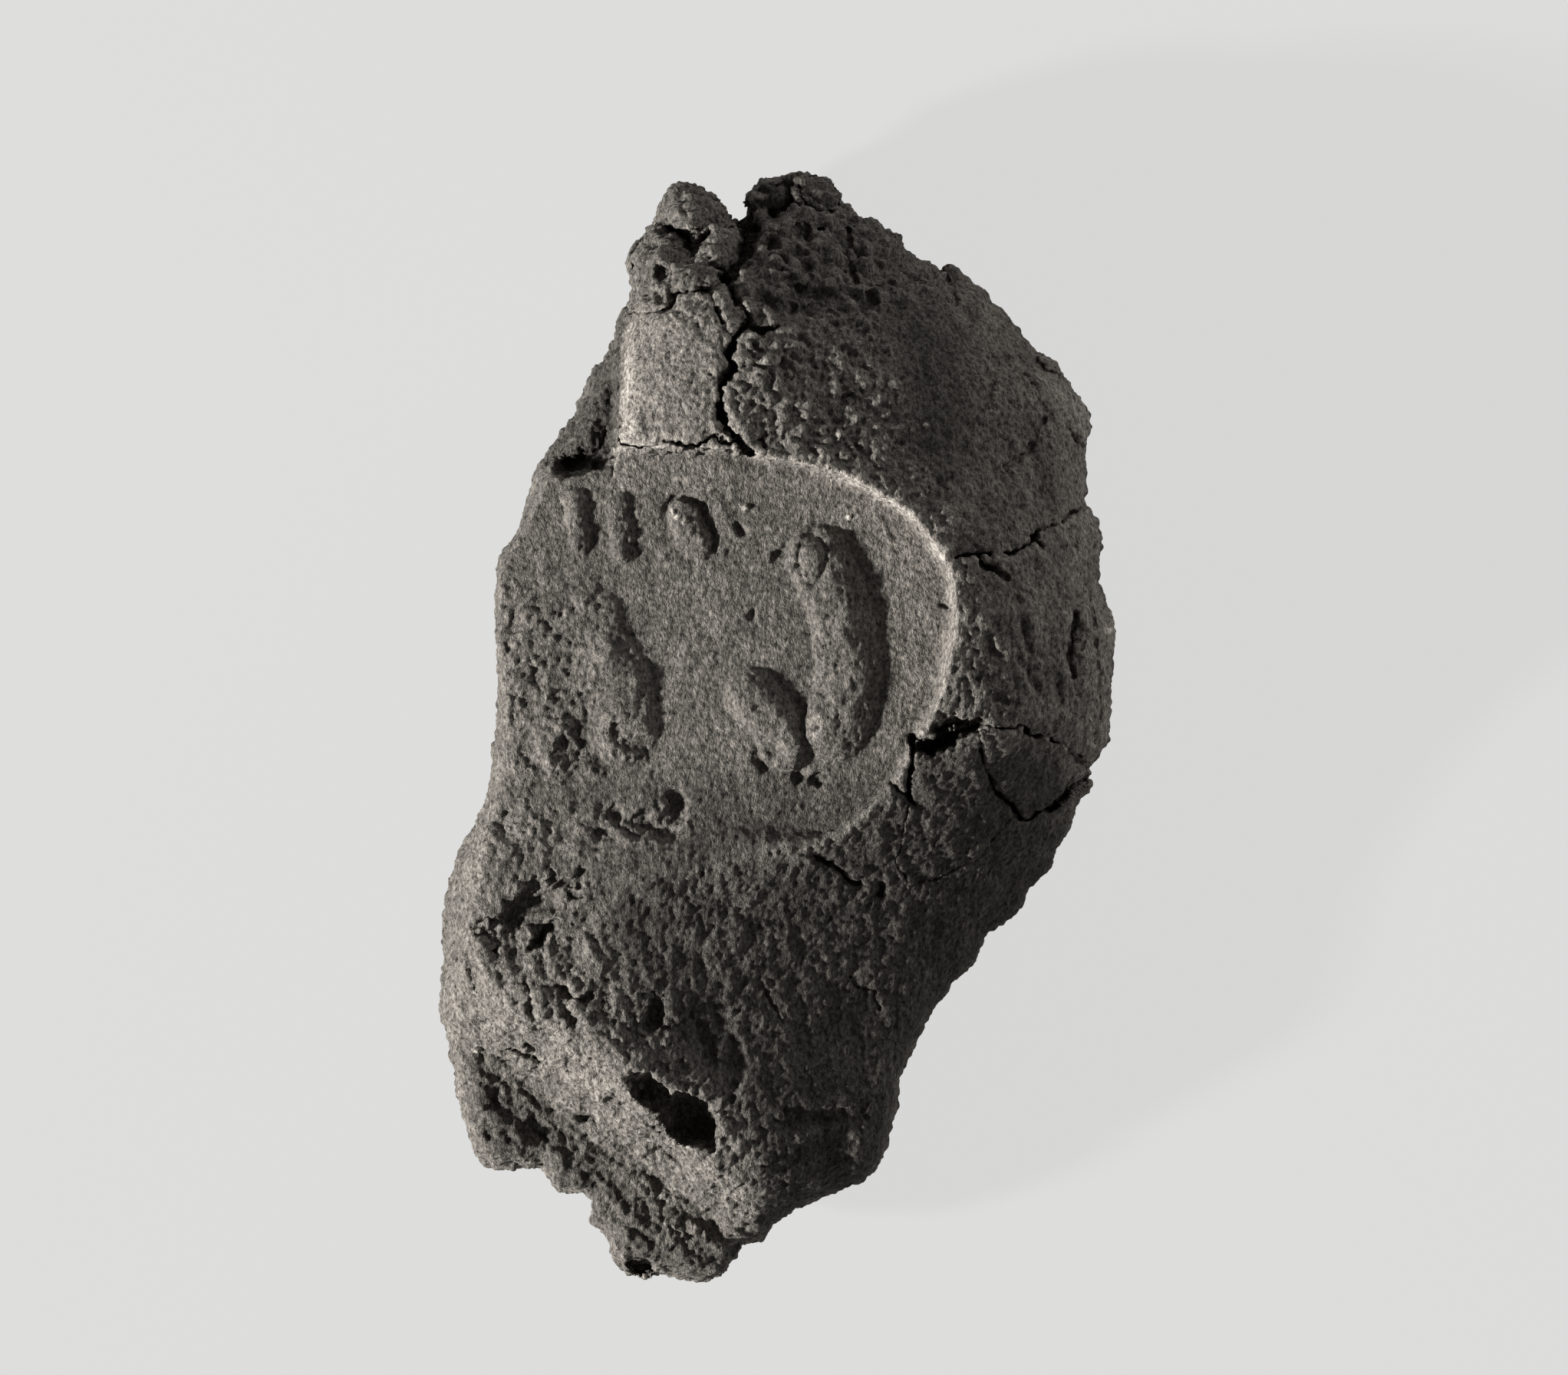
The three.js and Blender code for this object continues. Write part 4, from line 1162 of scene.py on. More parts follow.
# The loose fragments: node, a middle pixel, how thick it is there in millimetres, and its loop in pixels
FRAGMENTS = [
    ("knob_tip", (880, 290), 4.6, [
        (790, 190), (950, 200), (966, 290), (945, 297), (924, 305), (907, 322), (898, 310), (880, 297),
        (862, 287), (790, 290),
    ]),
    ("knob_base", (880, 330), 5.6, [
        (944, 369), (922, 381), (899, 380), (881, 397), (856, 405), (826, 407), (780, 406), (780, 290),
        (862, 288), (880, 298), (898, 311), (907, 323), (924, 306), (945, 298), (966, 291), (978, 320),
        (962, 350),
    ]),
    ("upper_left_plate", (870, 490), 2.9, [
        (800, 409), (856, 406), (882, 398), (900, 382), (928, 383), (933, 402), (940, 418), (960, 432),
        (954, 459), (951, 470), (954, 480), (944, 500), (938, 519), (941, 547), (952, 566), (952, 579),
        (934, 571), (920, 577), (911, 583), (890, 582), (812, 581), (800, 560),
    ]),
    ("fork_chip", (945, 400), 1.5, [
        (930, 381), (945, 372), (953, 380), (962, 394), (972, 408), (974, 424), (960, 431), (944, 424),
        (938, 415), (932, 400),
    ]),
    ("shoulder_plate", (1350, 1000), 2.9, [
        (1276, 945), (1292, 948), (1312, 951), (1332, 949), (1338, 964), (1357, 958), (1392, 978),
        (1450, 1006), (1440, 1012), (1402, 1027), (1385, 1038), (1374, 1051), (1356, 1061), (1338, 1073),
        (1314, 1049), (1298, 1031), (1288, 1009), (1275, 976),
    ]),
    ("lower_right_plate", (1240, 1050), 3.2, [
        (1190, 964), (1206, 972), (1222, 966), (1244, 958), (1264, 950), (1275, 946), (1274, 976),
        (1287, 1009), (1297, 1031), (1313, 1049), (1336, 1073), (1322, 1100), (1289, 1123), (1233, 1153),
        (1190, 1166), (1168, 1120), (1184, 1050), (1186, 1003), (1190, 976),
    ]),
]
# The gap round a fragment, and how far past its loop the part of the grid that it is cut from reaches
GAP = 0.025
BOX_MARGIN = 1.2
# A fragment's seat is a bowl: how fast it rises from its lowest place, per square millimetre, and how
# uneven it is, with the wavelength and seed of its noise
BOWL = 0.1
BOWL_UNEVENNESS = 0.3
BOWL_NOISE = (2.4, 58)

# The nodule on the tip is an ellipsoid: its middle and half its sides in pixels, half the side of the box
# round it, how deep its middle lies under the surface, and half its height
NODULE_PIXEL = (1071, 248)
NODULE_HALF = (31, 30)
NODULE_BOX = 40
NODULE_DEPTH = 0.7
NODULE_HALF_HEIGHT = 2.0


def bowl_inside(loop, pixel, seat):
    """A fragment as a volume over the grid: within its loop, and above its seat."""
    sides = loop_distance(loop, XW, YW)
    middle = place(pixel)
    bowl = seat + BOWL * ((XW - middle[0]) ** 2 + (YW - middle[1]) ** 2)
    bowl += BOWL_UNEVENNESS * noise_map(*BOWL_NOISE)
    return np.maximum(sides[..., None], bowl[..., None] - Z).astype(np.float32)


def nodule_inside(box):
    """The nodule as a volume over its box."""
    share = spot_share(NODULE_PIXEL, NODULE_HALF, 0)[box][..., None]
    height = surface_at(NODULE_PIXEL) - NODULE_DEPTH
    share = np.sqrt(share ** 2 + ((Z - height) / NODULE_HALF_HEIGHT) ** 2)
    return ((share - 1) * NODULE_HALF[0] * PIXEL).astype(np.float32)


def box_round(pixels):
    """The part of the grid that holds some pixels, with a margin."""
    corners = places(pixels)
    slices = []
    for axis, marks in enumerate((XS, YS)):
        low = np.searchsorted(marks, corners[:, axis].min() - BOX_MARGIN)
        high = np.searchsorted(marks, corners[:, axis].max() + BOX_MARGIN)
        slices.append(slice(low, high))
    return tuple(slices)


def surface_at(pixel):
    """The height of the skin at a pixel, before the cracks were cut."""
    return float(at_points(whole, np.array([[*place(pixel), 0.0]]))[0])


sculpted = volume.copy()
skins = {}


def part_off(name, box, inside):
    """Skins one fragment, and takes it and a gap round it from the body."""
    skins[name] = skin(np.maximum(sculpted[box], inside), np.array([XS[box[0]][0], YS[box[1]][0], ZS[0]]))
    volume[box] = np.maximum(volume[box], GAP - inside)


for name, pixel, thickness, loop in FRAGMENTS:
    box = box_round(loop)
    part_off(name, box, bowl_inside(loop, pixel, surface_at(pixel) - thickness)[box])
nodule_box = box_round([np.add(NODULE_PIXEL, side) for side in (-NODULE_BOX, NODULE_BOX)])
part_off("top_nodule", nodule_box, nodule_inside(nodule_box))
skins["clay_body"] = skin(volume, np.array([XS[0], YS[0], ZS[0]]))
del volume, sculpted


# Fine relief

def blurred(grid, radius):
    """A map with everything finer than a radius in millimetres evened out."""
    fx = np.fft.fftfreq(grid.shape[0], VOXEL)[:, None]
    fy = np.fft.fftfreq(grid.shape[1], VOXEL)[None, :]
    soft = np.exp(-2 * (math.pi * radius) ** 2 * (fx ** 2 + fy ** 2))
    return np.real(np.fft.ifft2(np.fft.fft2(grid) * soft))


# What evens the surface out for the painted shade of deep places: a height off the clay, and a radius
OFF_CLAY = 9.0
DEPTH_RADIUS = 0.9
smooth_surface = blurred(np.where(standing, surface, OFF_CLAY), DEPTH_RADIUS)

# A grain's crease and how far its top is rounded, as shares of its size
CREASE = 0.6
GRAIN_ROUNDING = 0.55


def grains(points, size, seed):
    """Rounded grains: from 0 in the creases between them to 1 on their tops."""
    nearest, second = crumbs(points, size, seed)
    return np.clip((second - nearest) / CREASE, 0, 1) * np.clip(1 - GRAIN_ROUNDING * nearest ** 2, 0, 1)


# The noise at which hollows begin where nothing has crumbled, and how much more of it makes them fully deep
CRUMBLE_START = 1.15
CRUMBLE_RANGE = 0.75


def crumbled(points, wavelength, seed, amount):
    """Ragged hollows: 0 on the skin and up to 1 in the hollows, which are wider the larger the amount."""
    uneven = octaves(points, wavelength, seed, 3, 0.6)
    return np.clip((uneven - CRUMBLE_START + amount) / CRUMBLE_RANGE, 0, 1)


# The way the clay flowed, as a direction on the face in degrees
FLOW = 95


def stretched(points, factor, angle=FLOW):
    """Points squeezed along a direction of the face, so that what is scattered on them lies along it."""
    c, s = math.cos(math.radians(angle)), math.sin(math.radians(angle))
    along = (points[:, 0] * c + points[:, 1] * s) / factor
    across = points[:, 1] * c - points[:, 0] * s
    return np.stack([along, across, points[:, 2]], axis=1)


def shared_out(masks):
    """Masks as weights that add up to one: what an earlier region takes is gone for a later one."""
    left = np.ones_like(X)
    weights = {}
    for name, mask in masks.items():
        weights[name] = left * mask
        left = left * (1 - mask)
    weights["crust"] = left
    return weights


weights = shared_out(masks)

# What each region's skin is like: how far its swells, lumps, cobbles, grains and sand stand out in
# millimetres, how much of it has crumbled, how rough its finest grain is, and its tone. Light and shade are
# painted into the tone: a painted highlight on the rim, the plate's edge and the right edge, painted light
# on the upper field, the plate, the groove's side towards the field and the shoulder, painted shade on the
# lower field, the groove's side towards the end, the smooth upper right, the parts below the field, the
# lower right and the end, and the knob's painted shadow on the tip.
SKIN_COLUMNS = ("swells", "lumps", "cobbles", "grains", "sand", "crumbled", "rough", "tone_and_painted_light")
SKINS = {
    "field": (0.03, 0.04, 0, 0.03, 0.045, 0.06, 1.25, 1.1),
    "rim": (0.03, 0.06, 0, 0.05, 0.06, 0.15, 1.3, 2.4),
    "boss": (0.03, 0.1, 0.03, 0.05, 0.05, 0.35, 1.25, 1.06),
    "upper_field_painted_light": (0.03, 0.04, 0, 0.03, 0.045, 0.06, 1.25, 1.42),
    "lower_field_painted_shade": (0.04, 0.05, 0, 0.04, 0.045, 0.1, 1.25, 0.72),
    "eroded": (0.06, 0.12, 0.1, 0.09, 0.07, 0.5, 1.25, 1.08),
    "broken": (0.12, 0.12, 0.15, 0.12, 0.06, 0.7, 1.3, 0.52),
    "groove_end": (0.06, 0.08, 0.08, 0.08, 0.07, 0.5, 1.4, 0.85),
    "groove": (0.06, 0.09, 0.08, 0.11, 0.08, 0.65, 1.5, 1.36),
    "plate_edge_painted_highlight": (0.06, 0.07, 0.04, 0.08, 0.06, 0.3, 1.25, 2.1),
    "plate": (0.06, 0.07, 0.04, 0.1, 0.065, 0.5, 1.25, 1.32),
    "knob": (0.07, 0.1, 0.2, 0.12, 0.07, 0.8, 1.35, 0.93),
    "tip": (0.08, 0.1, 0.5, 0.1, 0.06, 0.5, 1.2, 0.8),
    "top": (0.1, 0.1, 0.5, 0.13, 0.06, 0.6, 1.25, 0.98),
    "cobbled": (0.08, 0.11, 0.24, 0.15, 0.07, 0.9, 1.3, 1.25),
    "smooth": (0.05, 0.06, 0.05, 0.06, 0.035, 0.2, 0.9, 0.52),
    "edge": (0.08, 0.08, 0.1, 0.09, 0.05, 0.45, 1.1, 1.8),
    "shoulder": (0.09, 0.08, 0.09, 0.08, 0.045, 0.45, 1.1, 1.12),
    "end": (0.08, 0.06, 0.05, 0.07, 0.05, 0.3, 1.0, 0.42),
    "lower_right": (0.05, 0.05, 0.03, 0.06, 0.045, 0.12, 1.0, 0.52),
    "below_field": (0.08, 0.07, 0.05, 0.06, 0.055, 0.3, 1.1, 0.6),
    "lower_left": (0.1, 0.1, 0.12, 0.09, 0.075, 0.55, 1.4, 1.12),
    "crust": (0.08, 0.11, 0.2, 0.12, 0.065, 0.75, 1.3, 1.15),
    "underside": (0.3, 0.12, 0.12, 0.1, 0.06, 0.6, 1.2, 0.95),
}
# Wrinkles that run with the clay's flow: their height, direction, how drawn out they are, and their width
WRINKLES = {
    "shoulder": (0.11, 105, 4, 0.7),
    "edge": (0.1, 100, 3.5, 0.7),
    "smooth": (0.03, 105, 3, 0.6),
    "lower_right": (0.06, 106, 4, 0.6),
    "end": (0.04, 20, 3, 0.6),
    "below_field": (0.06, 96, 3, 0.6),
    "plate": (0.05, 62, 3, 0.5),
    "lower_left": (0.06, 100, 3, 0.6),
    "groove_end": (0.1, -40, 4, 0.5),
    "groove": (0.12, -36, 5, 0.45),
    "crust": (0.03, 95, 3, 0.7),
}

# Grains of pale grit in the clay: middle and radius in pixels
GRIT = [
    ((972, 663), 5), ((885, 675), 4), ((878, 667), 3.5), ((894, 681), 3.5), ((1105, 675), 4),
    ((623, 1368), 6.5), ((1441, 823), 5), ((1205, 556), 4), ((836, 1416), 4), ((938, 1452), 3.5),
]
# How far a grain stands out in millimetres, its tone, and the share of its way in over which that comes up
GRIT_RISE = 0.12
GRIT_TONE = 3.2
GRIT_EDGE = 0.3


def grit_at(points):
    """How much each vertex belongs to a grain of grit."""
    share = np.zeros(len(points))
    for pixel, radius in GRIT:
        out = spot_share(pixel, (radius, radius), 0, points[:, 0], points[:, 1])
        share = np.maximum(share, 1 - out ** 2)
    return share


# How far up a normal points where the underside's region begins to give way to the face's, and where it has
FACING = (-0.15, 0.25)


def weights_at(points, normals):
    """How much each vertex belongs to each region. The underside and flanks are a region of their own."""
    facing = ease(*FACING, normals[:, 2])
    share = {name: at_points(grid, points) * facing for name, grid in weights.items()}
    share["underside"] = 1 - facing
    return share


def skin_kind(share):
    """The columns of the regions' table at each vertex."""
    kind = {}
    for i, column in enumerate(SKIN_COLUMNS):
        kind[column] = sum(share[name] * row[i] for name, row in SKINS.items())
    return kind


# The flanks in millimetres: how deep their dents are and how high their swells, with how long these are, and
# how far from the girth both reach their full size
DENT_DEPTH = 1.1
DENT_LENGTH = 5.0
FLANK_SWELL = 0.22
FLANK_SWELL_LENGTH = 2.4
OFF_GIRTH = 2.5
# How much of the noise under zero still makes a dent, and how far down a normal points where the flank
# begins to give way to the back, and where it has
DENT_SHARE = 0.2
BACK_FACING = (0.3, 0.8)
# Fissures: their depth, their length, the length of the patches that have them, and their width in noise
FISSURE_DEPTH = 0.3
FISSURE_LENGTH = 4.0
FISSURE_PATCHES = 6.0
FISSURE_WIDTH = 0.07


def flank_relief(points, normals, share):
    """Broad dents and thin fissures of the flanks. The girth, which the silhouette shows, stays as it is."""
    away = np.clip(np.abs(points[:, 2] - at_points(girth_map, points)) / OFF_GIRTH, 0, 1)
    sideways = share["underside"] * (1 - ease(*BACK_FACING, -normals[:, 2]))
    dents = np.clip(octaves(points, DENT_LENGTH, 141, 2) + DENT_SHARE, 0, 1) * away
    fissures = np.exp(-(octaves(points, FISSURE_LENGTH, 151, 3) / FISSURE_WIDTH) ** 2)
    fissures *= ease(0.0, 0.3, noise(points, FISSURE_PATCHES, 155))
    swells = FLANK_SWELL * octaves(points, FLANK_SWELL_LENGTH, 158, 2) * away
    return sideways * (swells - DENT_DEPTH * dents - FISSURE_DEPTH * fissures)


# Sizes of the face's relief in millimetres: how long its swells, its lumps and its fine and coarse sand are,
# with the coarse sand's share, and how large its cobbles and grains are, with how far they are shaken out of
# shape and by how long a noise
SWELL_LENGTH = 2.6
LUMP_LENGTH = 0.9
SAND_LENGTHS = (0.2, 0.36)
COARSE_SAND = 0.6
COBBLE_SIZE = 1.05
COBBLE_SHAKE = (0.25, 1.1)
GRAIN_SIZE = 0.5
GRAIN_SHAKE = (0.14, 0.7)
# How drawn out lumps, sand and grains are along the flow
LUMP_STRETCH = 1.4
SAND_STRETCH = 1.2
GRAIN_STRETCH = 1.15
# Crumbled hollows, broad and narrow: depth, length and seed, and how far the clay round them rises
CRUMBLED = ((0.2, 0.95, 131), (0.17, 0.42, 134))
CRUMBLED_RISE = 0.12
# Swells are lower on steep skin, which makes the silhouette: how fast they grow as it levels out, and from
# what share
STEEP_GAIN = 2.5
STEEP_LEAST = 0.25


def shaken(points, shake, seed):
    """Points moved a little by noise."""
    distance, length = shake
    return points + distance * noise(points, length, seed)[:, None]


def relief(points, normals, share):
    """How far each vertex moves out along its normal, in millimetres."""
    kind = skin_kind(share)
    level = np.clip(np.abs(normals[:, 2]) * STEEP_GAIN, STEEP_LEAST, 1)
    out = kind["swells"] * level * octaves(points, SWELL_LENGTH, 61, 2)
    out += kind["lumps"] * octaves(stretched(points, LUMP_STRETCH), LUMP_LENGTH, 71, 2)
    out += kind["cobbles"] * (grains(shaken(points, COBBLE_SHAKE, 84), COBBLE_SIZE, 85) - 0.5)
    spots = stretched(shaken(points, GRAIN_SHAKE, 81), GRAIN_STRETCH)
    out += kind["grains"] * (grains(spots, GRAIN_SIZE, 82) - 0.5)
    fine, coarse = SAND_LENGTHS
    sand = noise(stretched(points, SAND_STRETCH), fine, 91) + COARSE_SAND * noise(points, coarse, 92)
    out += kind["sand"] * sand
    for seed, (name, (height, angle, length, width)) in enumerate(WRINKLES.items(), 101):
        out += height * share[name] * octaves(stretched(points, length, angle), width, seed, 2)
    out += flank_relief(points, normals, share) + CRUMBLED_RISE * kind["crumbled"]
    for depth, length, seed in CRUMBLED:
        out -= depth * crumbled(points, length, seed, kind["crumbled"])
    return out


# How the shade painted into a hollow is evened out over the skin: passes, and the share of the neighbours in
# each
HOLLOW_PASSES = 3
HOLLOW_SHARE = 0.6
# The heights over and under the smooth surface between which depth tells on the painted shade
DEPTH_LIMITS = (-0.5, 2)
# How far up a normal points where the skin begins to count as the top, and where it does in full
TOP_FACING = (0.1, 0.5)


def hollowness(points, faces, normals):
    """How hollow the skin is at each vertex, and below zero on its crests."""
    edges = edges_of(faces)
    mean = spread_out(points, edges, len(points))
    hollow = np.sum((mean - points) * normals, axis=1)[:, None]
    for _ in range(HOLLOW_PASSES):
        around = spread_out(hollow, edges, len(points))
        hollow = (1 - HOLLOW_SHARE) * hollow + HOLLOW_SHARE * around
    return hollow[:, 0] / VOXEL ** 2


def finish_skin(name):
    """The skin with its fine relief, and what its material needs to know about each vertex."""
    points, faces = biggest_part(*skins.pop(name))
    points = points.astype(float)
    normals = normals_of(points, faces)
    share = weights_at(points, normals)
    top = ease(*TOP_FACING, normals[:, 2])
    grit = grit_at(points) * top
    points += normals * (relief(points, normals, share) + GRIT_RISE * np.sqrt(grit))[:, None]
    points[:, 2] = np.maximum(points[:, 2], 0)
    kind = skin_kind(share)
    # Hollow and depth paint shade into hollows and deep places, and the tone carries the regions' painted
    # light and shade and the pale grit
    values = {
        "hollow": hollowness(points, faces, normals_of(points, faces)),
        "depth": np.clip(at_points(smooth_surface, points) - points[:, 2], *DEPTH_LIMITS) * top,
        "rough": kind["rough"],
        "tone_and_painted_light": kind["tone_and_painted_light"] + (GRIT_TONE - kind["tone_and_painted_light"]) * ease(0, GRIT_EDGE, grit),
    }
    return points, faces, values


# Materials

CLAY = (0.147, 0.134, 0.118, 1)
CLAY_ROUGHNESS = 0.93
CLAY_SPECULAR = 0.08
# Noises in the clay's colour and in its bump: wavelength in millimetres, detail and roughness
GRAIN_NOISE = (0.16, 3, 0.7)
MOTTLE_NOISE = (1.3, 4, 0.65)
PATCH_NOISE = (7.0, 2, 0.5)
SAND_NOISE = (0.12, 3, 0.7)
# How much the fine noises are squeezed along the lump, so that they lie along it
SQUEEZE = (1, 0.65, 1)
# What the tone is multiplied by: the gain and offset of a value, and the lowest and highest outcome
TONE_STEPS = {
    "grain": (4.4, -1.2, 0.2, None),
    "mottle": (1.5, 0.25, None, None),
    "patch": (0.5, 0.75, None, None),
    # Hollow and depth paint shade into hollows and deep places, and make crests paler
    "hollow": (-0.09, 1.0, 0.5, 1.35),
    "depth": (-0.3, 1.0, 0.45, 1.08),
}
# The bump: the size of its grains, how far their creases sink, and how far its sand rises, in millimetres
BUMP_GRAIN = 0.42
BUMP_CREASE = -0.055
BUMP_SAND = 0.14


def node(tree, kind, **settings):
    """A new node of a tree, with some of its settings."""
    made = tree.nodes.new(kind)
    for key, value in settings.items():
        setattr(made, key, value)
    return made


def new_tree(owner):
    """The empty node tree of a material or a world."""
    owner.use_nodes = True
    owner.node_tree.nodes.clear()
    return owner.node_tree


def math_node(tree, operation, a, b=None, c=None, clamp=False):
    """The outcome of a sum on numbers or on other nodes' outputs."""
    made = node(tree, "ShaderNodeMath", operation=operation, use_clamp=clamp)
    for i, value in enumerate((a, b, c)):
        if value is None:
            continue
        if isinstance(value, (int, float)):
            made.inputs[i].default_value = value
        else:
            tree.links.new(value, made.inputs[i])
    return made.outputs[0]


def noise_node(tree, coordinates, wavelength, detail, roughness):
    """Noise of a wavelength in millimetres."""
    made = node(tree, "ShaderNodeTexNoise")
    made.inputs["Scale"].default_value = 1 / (wavelength * METRES_PER_MM)
    made.inputs["Detail"].default_value = detail
    made.inputs["Roughness"].default_value = roughness
    tree.links.new(coordinates, made.inputs["Vector"])
    return made.outputs["Fac"]


def grain_node(tree, coordinates, size):
    """Rounded grains: the distance to the nearest of scattered seeds."""
    made = node(tree, "ShaderNodeTexVoronoi")
    made.inputs["Scale"].default_value = 1 / (size * METRES_PER_MM)
    tree.links.new(coordinates, made.inputs["Vector"])
    return made.outputs["Distance"]


def vertex_value(tree, name):
    """A value that the mesh holds at each vertex."""
    return node(tree, "ShaderNodeAttribute", attribute_name=name).outputs["Fac"]


def clay_colour(tree, where, drawn_out):
    """The clay's colour: grainy and mottled, paler on crests, and with painted shade in hollows and deep
    places.
    """
    sources = {
        "grain": noise_node(tree, drawn_out, *GRAIN_NOISE),
        "mottle": noise_node(tree, where, *MOTTLE_NOISE),
        "patch": noise_node(tree, where, *PATCH_NOISE),
        "hollow": vertex_value(tree, "hollow"),
        "depth": vertex_value(tree, "depth"),
    }
    # The regions' tone, with light and shade painted into it
    tone_and_painted_light = vertex_value(tree, "tone_and_painted_light")
    for name, (gain, offset, low, high) in TONE_STEPS.items():
        factor = math_node(tree, "MULTIPLY_ADD", sources[name], gain, offset)
        if high is not None:
            factor = math_node(tree, "MINIMUM", factor, high)
        if low is not None:
            factor = math_node(tree, "MAXIMUM", factor, low)
        tone_and_painted_light = math_node(tree, "MULTIPLY", tone_and_painted_light, factor)
    grey = node(tree, "ShaderNodeCombineColor")
    for i in range(3):
        tree.links.new(tone_and_painted_light, grey.inputs[i])
    colour = node(tree, "ShaderNodeMix", data_type="RGBA", blend_type="MULTIPLY")
    colour.inputs["Factor"].default_value = 1
    colour.inputs["A"].default_value = CLAY
    tree.links.new(grey.outputs[0], colour.inputs["B"])
    return colour.outputs["Result"]


def clay_bump(tree, drawn_out):
    """Grains and sand too fine for the mesh."""
    sand = math_node(tree, "MULTIPLY", noise_node(tree, drawn_out, *SAND_NOISE), BUMP_SAND)
    height = math_node(tree, "MULTIPLY_ADD", grain_node(tree, drawn_out, BUMP_GRAIN), BUMP_CREASE, sand)
    height = math_node(tree, "MULTIPLY", height, vertex_value(tree, "rough"))
    bump = node(tree, "ShaderNodeBump")
    bump.inputs["Strength"].default_value = 1
    bump.inputs["Distance"].default_value = METRES_PER_MM
    tree.links.new(height, bump.inputs["Height"])
    return bump.outputs[0]


def clay_material(name):
    """Matt clay, coarse, with light and shade painted into its colour."""
    material = bpy.data.materials.new(name)
    tree = new_tree(material)
    output = node(tree, "ShaderNodeOutputMaterial")
    shader = node(tree, "ShaderNodeBsdfPrincipled")
    shader.inputs["Roughness"].default_value = CLAY_ROUGHNESS
    shader.inputs["Specular IOR Level"].default_value = CLAY_SPECULAR
    where = node(tree, "ShaderNodeTexCoord").outputs["Object"]
    squeeze = node(tree, "ShaderNodeMapping")
    squeeze.inputs["Scale"].default_value = SQUEEZE
    tree.links.new(where, squeeze.inputs["Vector"])
    drawn_out = squeeze.outputs[0]
    tree.links.new(clay_colour(tree, where, drawn_out), shader.inputs["Base Color"])
    tree.links.new(clay_bump(tree, drawn_out), shader.inputs["Normal"])
    tree.links.new(shader.outputs[0], output.inputs[0])
    return material


fired_clay = clay_material("fired_clay")


# Pieces

def new_piece(name, points, faces, values):
    """A mesh of fired clay, with a value for its material at each vertex."""
    mesh = bpy.data.meshes.new(name)
    mesh.vertices.add(len(points))
    mesh.vertices.foreach_set("co", (points * METRES_PER_MM).astype(np.float32).ravel())
    mesh.loops.add(faces.size)
    mesh.loops.foreach_set("vertex_index", faces.astype(np.int32).ravel())
    mesh.polygons.add(len(faces))
    mesh.polygons.foreach_set("loop_start", np.arange(0, faces.size, faces.shape[1], dtype=np.int32))
    mesh.update(calc_edges=True)
    mesh.validate()
    mesh.polygons.foreach_set("use_smooth", np.ones(len(mesh.polygons), bool))
    for key, value in values.items():
        attribute = mesh.attributes.new(key, "FLOAT", "POINT")
        attribute.data.foreach_set("value", value.astype(np.float32))
    mesh.materials.append(fired_clay)
    piece = bpy.data.objects.new("sculpted_" + name, mesh)
    bpy.context.scene.collection.objects.link(piece)
    return piece


for name in list(skins):
    piece = new_piece(name, *finish_skin(name))
    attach(piece, "root")
    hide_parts(name)


# The floor, the light and the camera

PALE = (0.72, 0.72, 0.715, 1)
WHITE = (1, 1, 1, 1)
WORLD_STRENGTH = 0.08
# In metres, the floor's side, and two distances from the object, with the share of its plain colour that the
# camera sees at each. The rest is its shading, so its shadow fades out of view on the way.
FLOOR_SIDE = 6
FADING = (0.07, 0.17)
PLAIN_SHARES = (0.93, 1)


def coloured(tree, kind, colour):
    """A shader node with a colour."""
    made = node(tree, kind)
    made.inputs["Color"].default_value = colour
    return made


def seen_directly(tree):
    """1 for rays from the camera, and for those that a gloss or a clear thing passes on."""
    path = node(tree, "ShaderNodeLightPath")
    seen = math_node(tree, "ADD", path.outputs["Is Camera Ray"], path.outputs["Is Glossy Ray"])
    return math_node(tree, "ADD", seen, path.outputs["Is Transmission Ray"], clamp=True)


def show_mixed(tree, output_kind, usual, plain, share):
    """Gives the output a mix of two shaders, with a share of the second."""
    mix = node(tree, "ShaderNodeMixShader")
    for i, source in enumerate((share, usual.outputs[0], plain.outputs[0])):
        tree.links.new(source, mix.inputs[i])
    tree.links.new(mix.outputs[0], node(tree, output_kind).inputs[0])


def plain_share(tree):
    """How much of the floor's plain colour shows, by how far a place is from the middle."""
    away = node(tree, "ShaderNodeVectorMath", operation="LENGTH")
    tree.links.new(node(tree, "ShaderNodeTexCoord").outputs["Object"], away.inputs[0])
    share = node(tree, "ShaderNodeMapRange")
    for key, value in zip(("From Min", "From Max", "To Min", "To Max"), FADING + PLAIN_SHARES):
        share.inputs[key].default_value = value
    tree.links.new(away.outputs["Value"], share.inputs["Value"])
    return share.outputs["Result"]


def pale_floor():
    """A matt floor with the object's shadow on it, which the camera sees fade into the plain ground."""
    bpy.ops.mesh.primitive_plane_add(size=FLOOR_SIDE, location=(0, 0, 0))
    floor = bpy.context.active_object
    floor.name = "floor"
    material = bpy.data.materials.new("pale_floor")
    tree = new_tree(material)
    matt = coloured(tree, "ShaderNodeBsdfDiffuse", PALE)
    plain = coloured(tree, "ShaderNodeEmission", PALE)
    share = math_node(tree, "MULTIPLY", seen_directly(tree), plain_share(tree))
    show_mixed(tree, "ShaderNodeOutputMaterial", matt, plain, share)
    floor.data.materials.append(material)


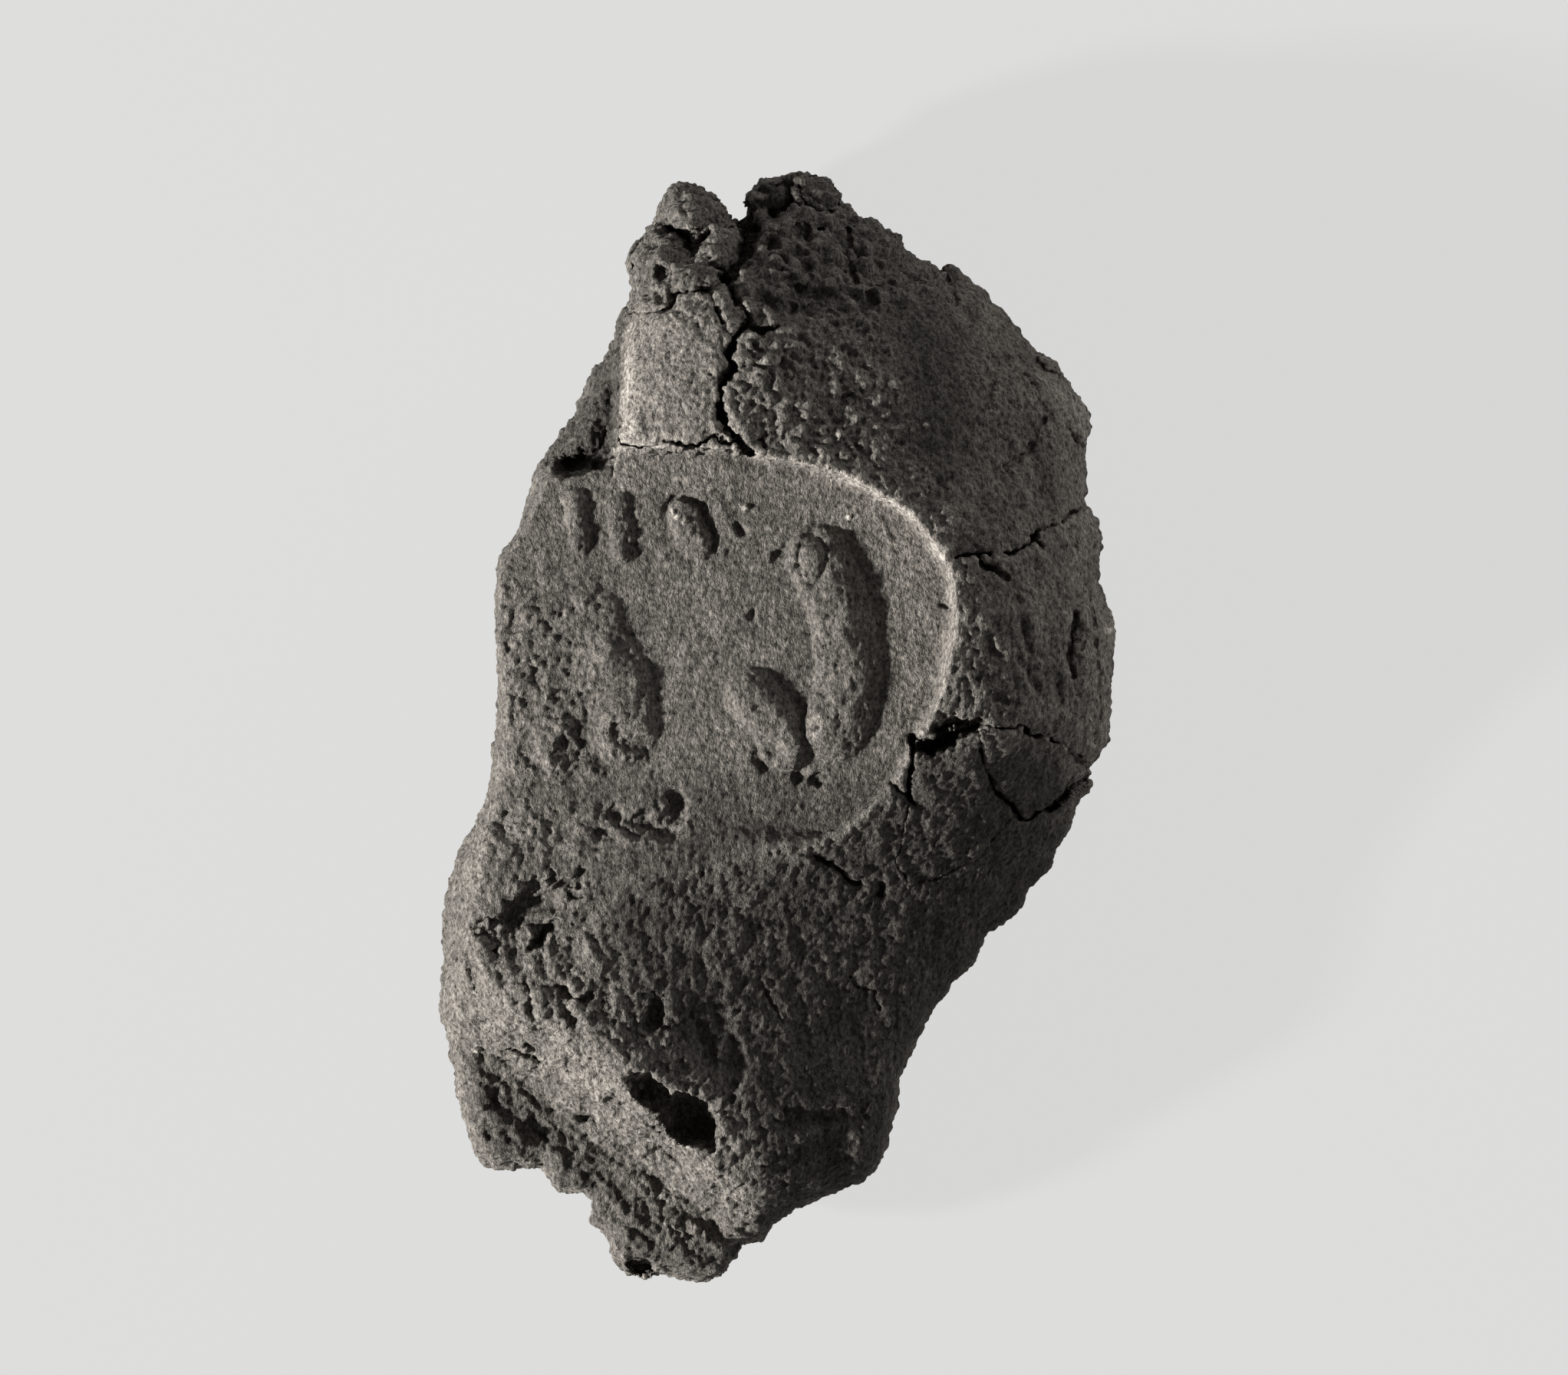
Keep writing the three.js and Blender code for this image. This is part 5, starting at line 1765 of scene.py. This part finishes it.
def world_light():
    """A dim even light from all round, which the camera sees as the floor's colour."""
    world = bpy.data.worlds.new("studio")
    bpy.context.scene.world = world
    tree = new_tree(world)
    dim = coloured(tree, "ShaderNodeBackground", WHITE)
    dim.inputs["Strength"].default_value = WORLD_STRENGTH
    plain = coloured(tree, "ShaderNodeBackground", PALE)
    show_mixed(tree, "ShaderNodeOutputWorld", dim, plain, seen_directly(tree))


# Lamps: name, azimuth and elevation in degrees, distance and size in metres, and strength, which is what a
# face square to the lamp gets. They shine on a place a little over the floor.
LAMPS = [
    ("key", 197, 23, 0.9, 0.07, 2.3),
    ("fill", 45, 10, 0.8, 0.4, 0.36),
]
LAMP_TARGET = Vector((0, 0, 0.01))


def lamp(name, azimuth, elevation, distance, size, strength):
    """A round soft lamp that shines on the object."""
    light = bpy.data.lights.new(name, "AREA")
    light.shape = "DISK"
    light.size = size
    light.energy = strength * math.pi * math.pi * distance ** 2
    made = bpy.data.objects.new(name, light)
    bpy.context.scene.collection.objects.link(made)
    a, e = math.radians(azimuth), math.radians(elevation)
    way = Vector((math.cos(a) * math.cos(e), math.sin(a) * math.cos(e), math.sin(e)))
    made.location = way * distance + LAMP_TARGET
    made.rotation_euler = way.to_track_quat("Z", "Y").to_euler()


# The camera looks straight down from far off, and takes in the whole picture at a height in the lump's
# middle. Its lens and sensor are in millimetres, and its farthest view in metres.
LENS = 400
SENSOR = 36
FARTHEST = 20
PICTURE_HEIGHT = 12


def camera_over_picture():
    """The reference view's camera."""
    camera = bpy.data.cameras.new("camera")
    camera.lens = LENS
    camera.sensor_width = SENSOR
    camera.clip_end = FARTHEST
    seen_from = bpy.data.objects.new("camera", camera)
    middle = place((PICTURE[0] / 2, PICTURE[1] / 2))
    height = PICTURE_HEIGHT + LENS / SENSOR * PICTURE[0] * PIXEL
    seen_from.location = Vector((*middle, height)) * METRES_PER_MM
    bpy.context.scene.collection.objects.link(seen_from)
    bpy.context.scene.camera = seen_from


pale_floor()
world_light()
for row in LAMPS:
    lamp(*row)
camera_over_picture()
bpy.context.scene.view_settings.view_transform = "Standard"
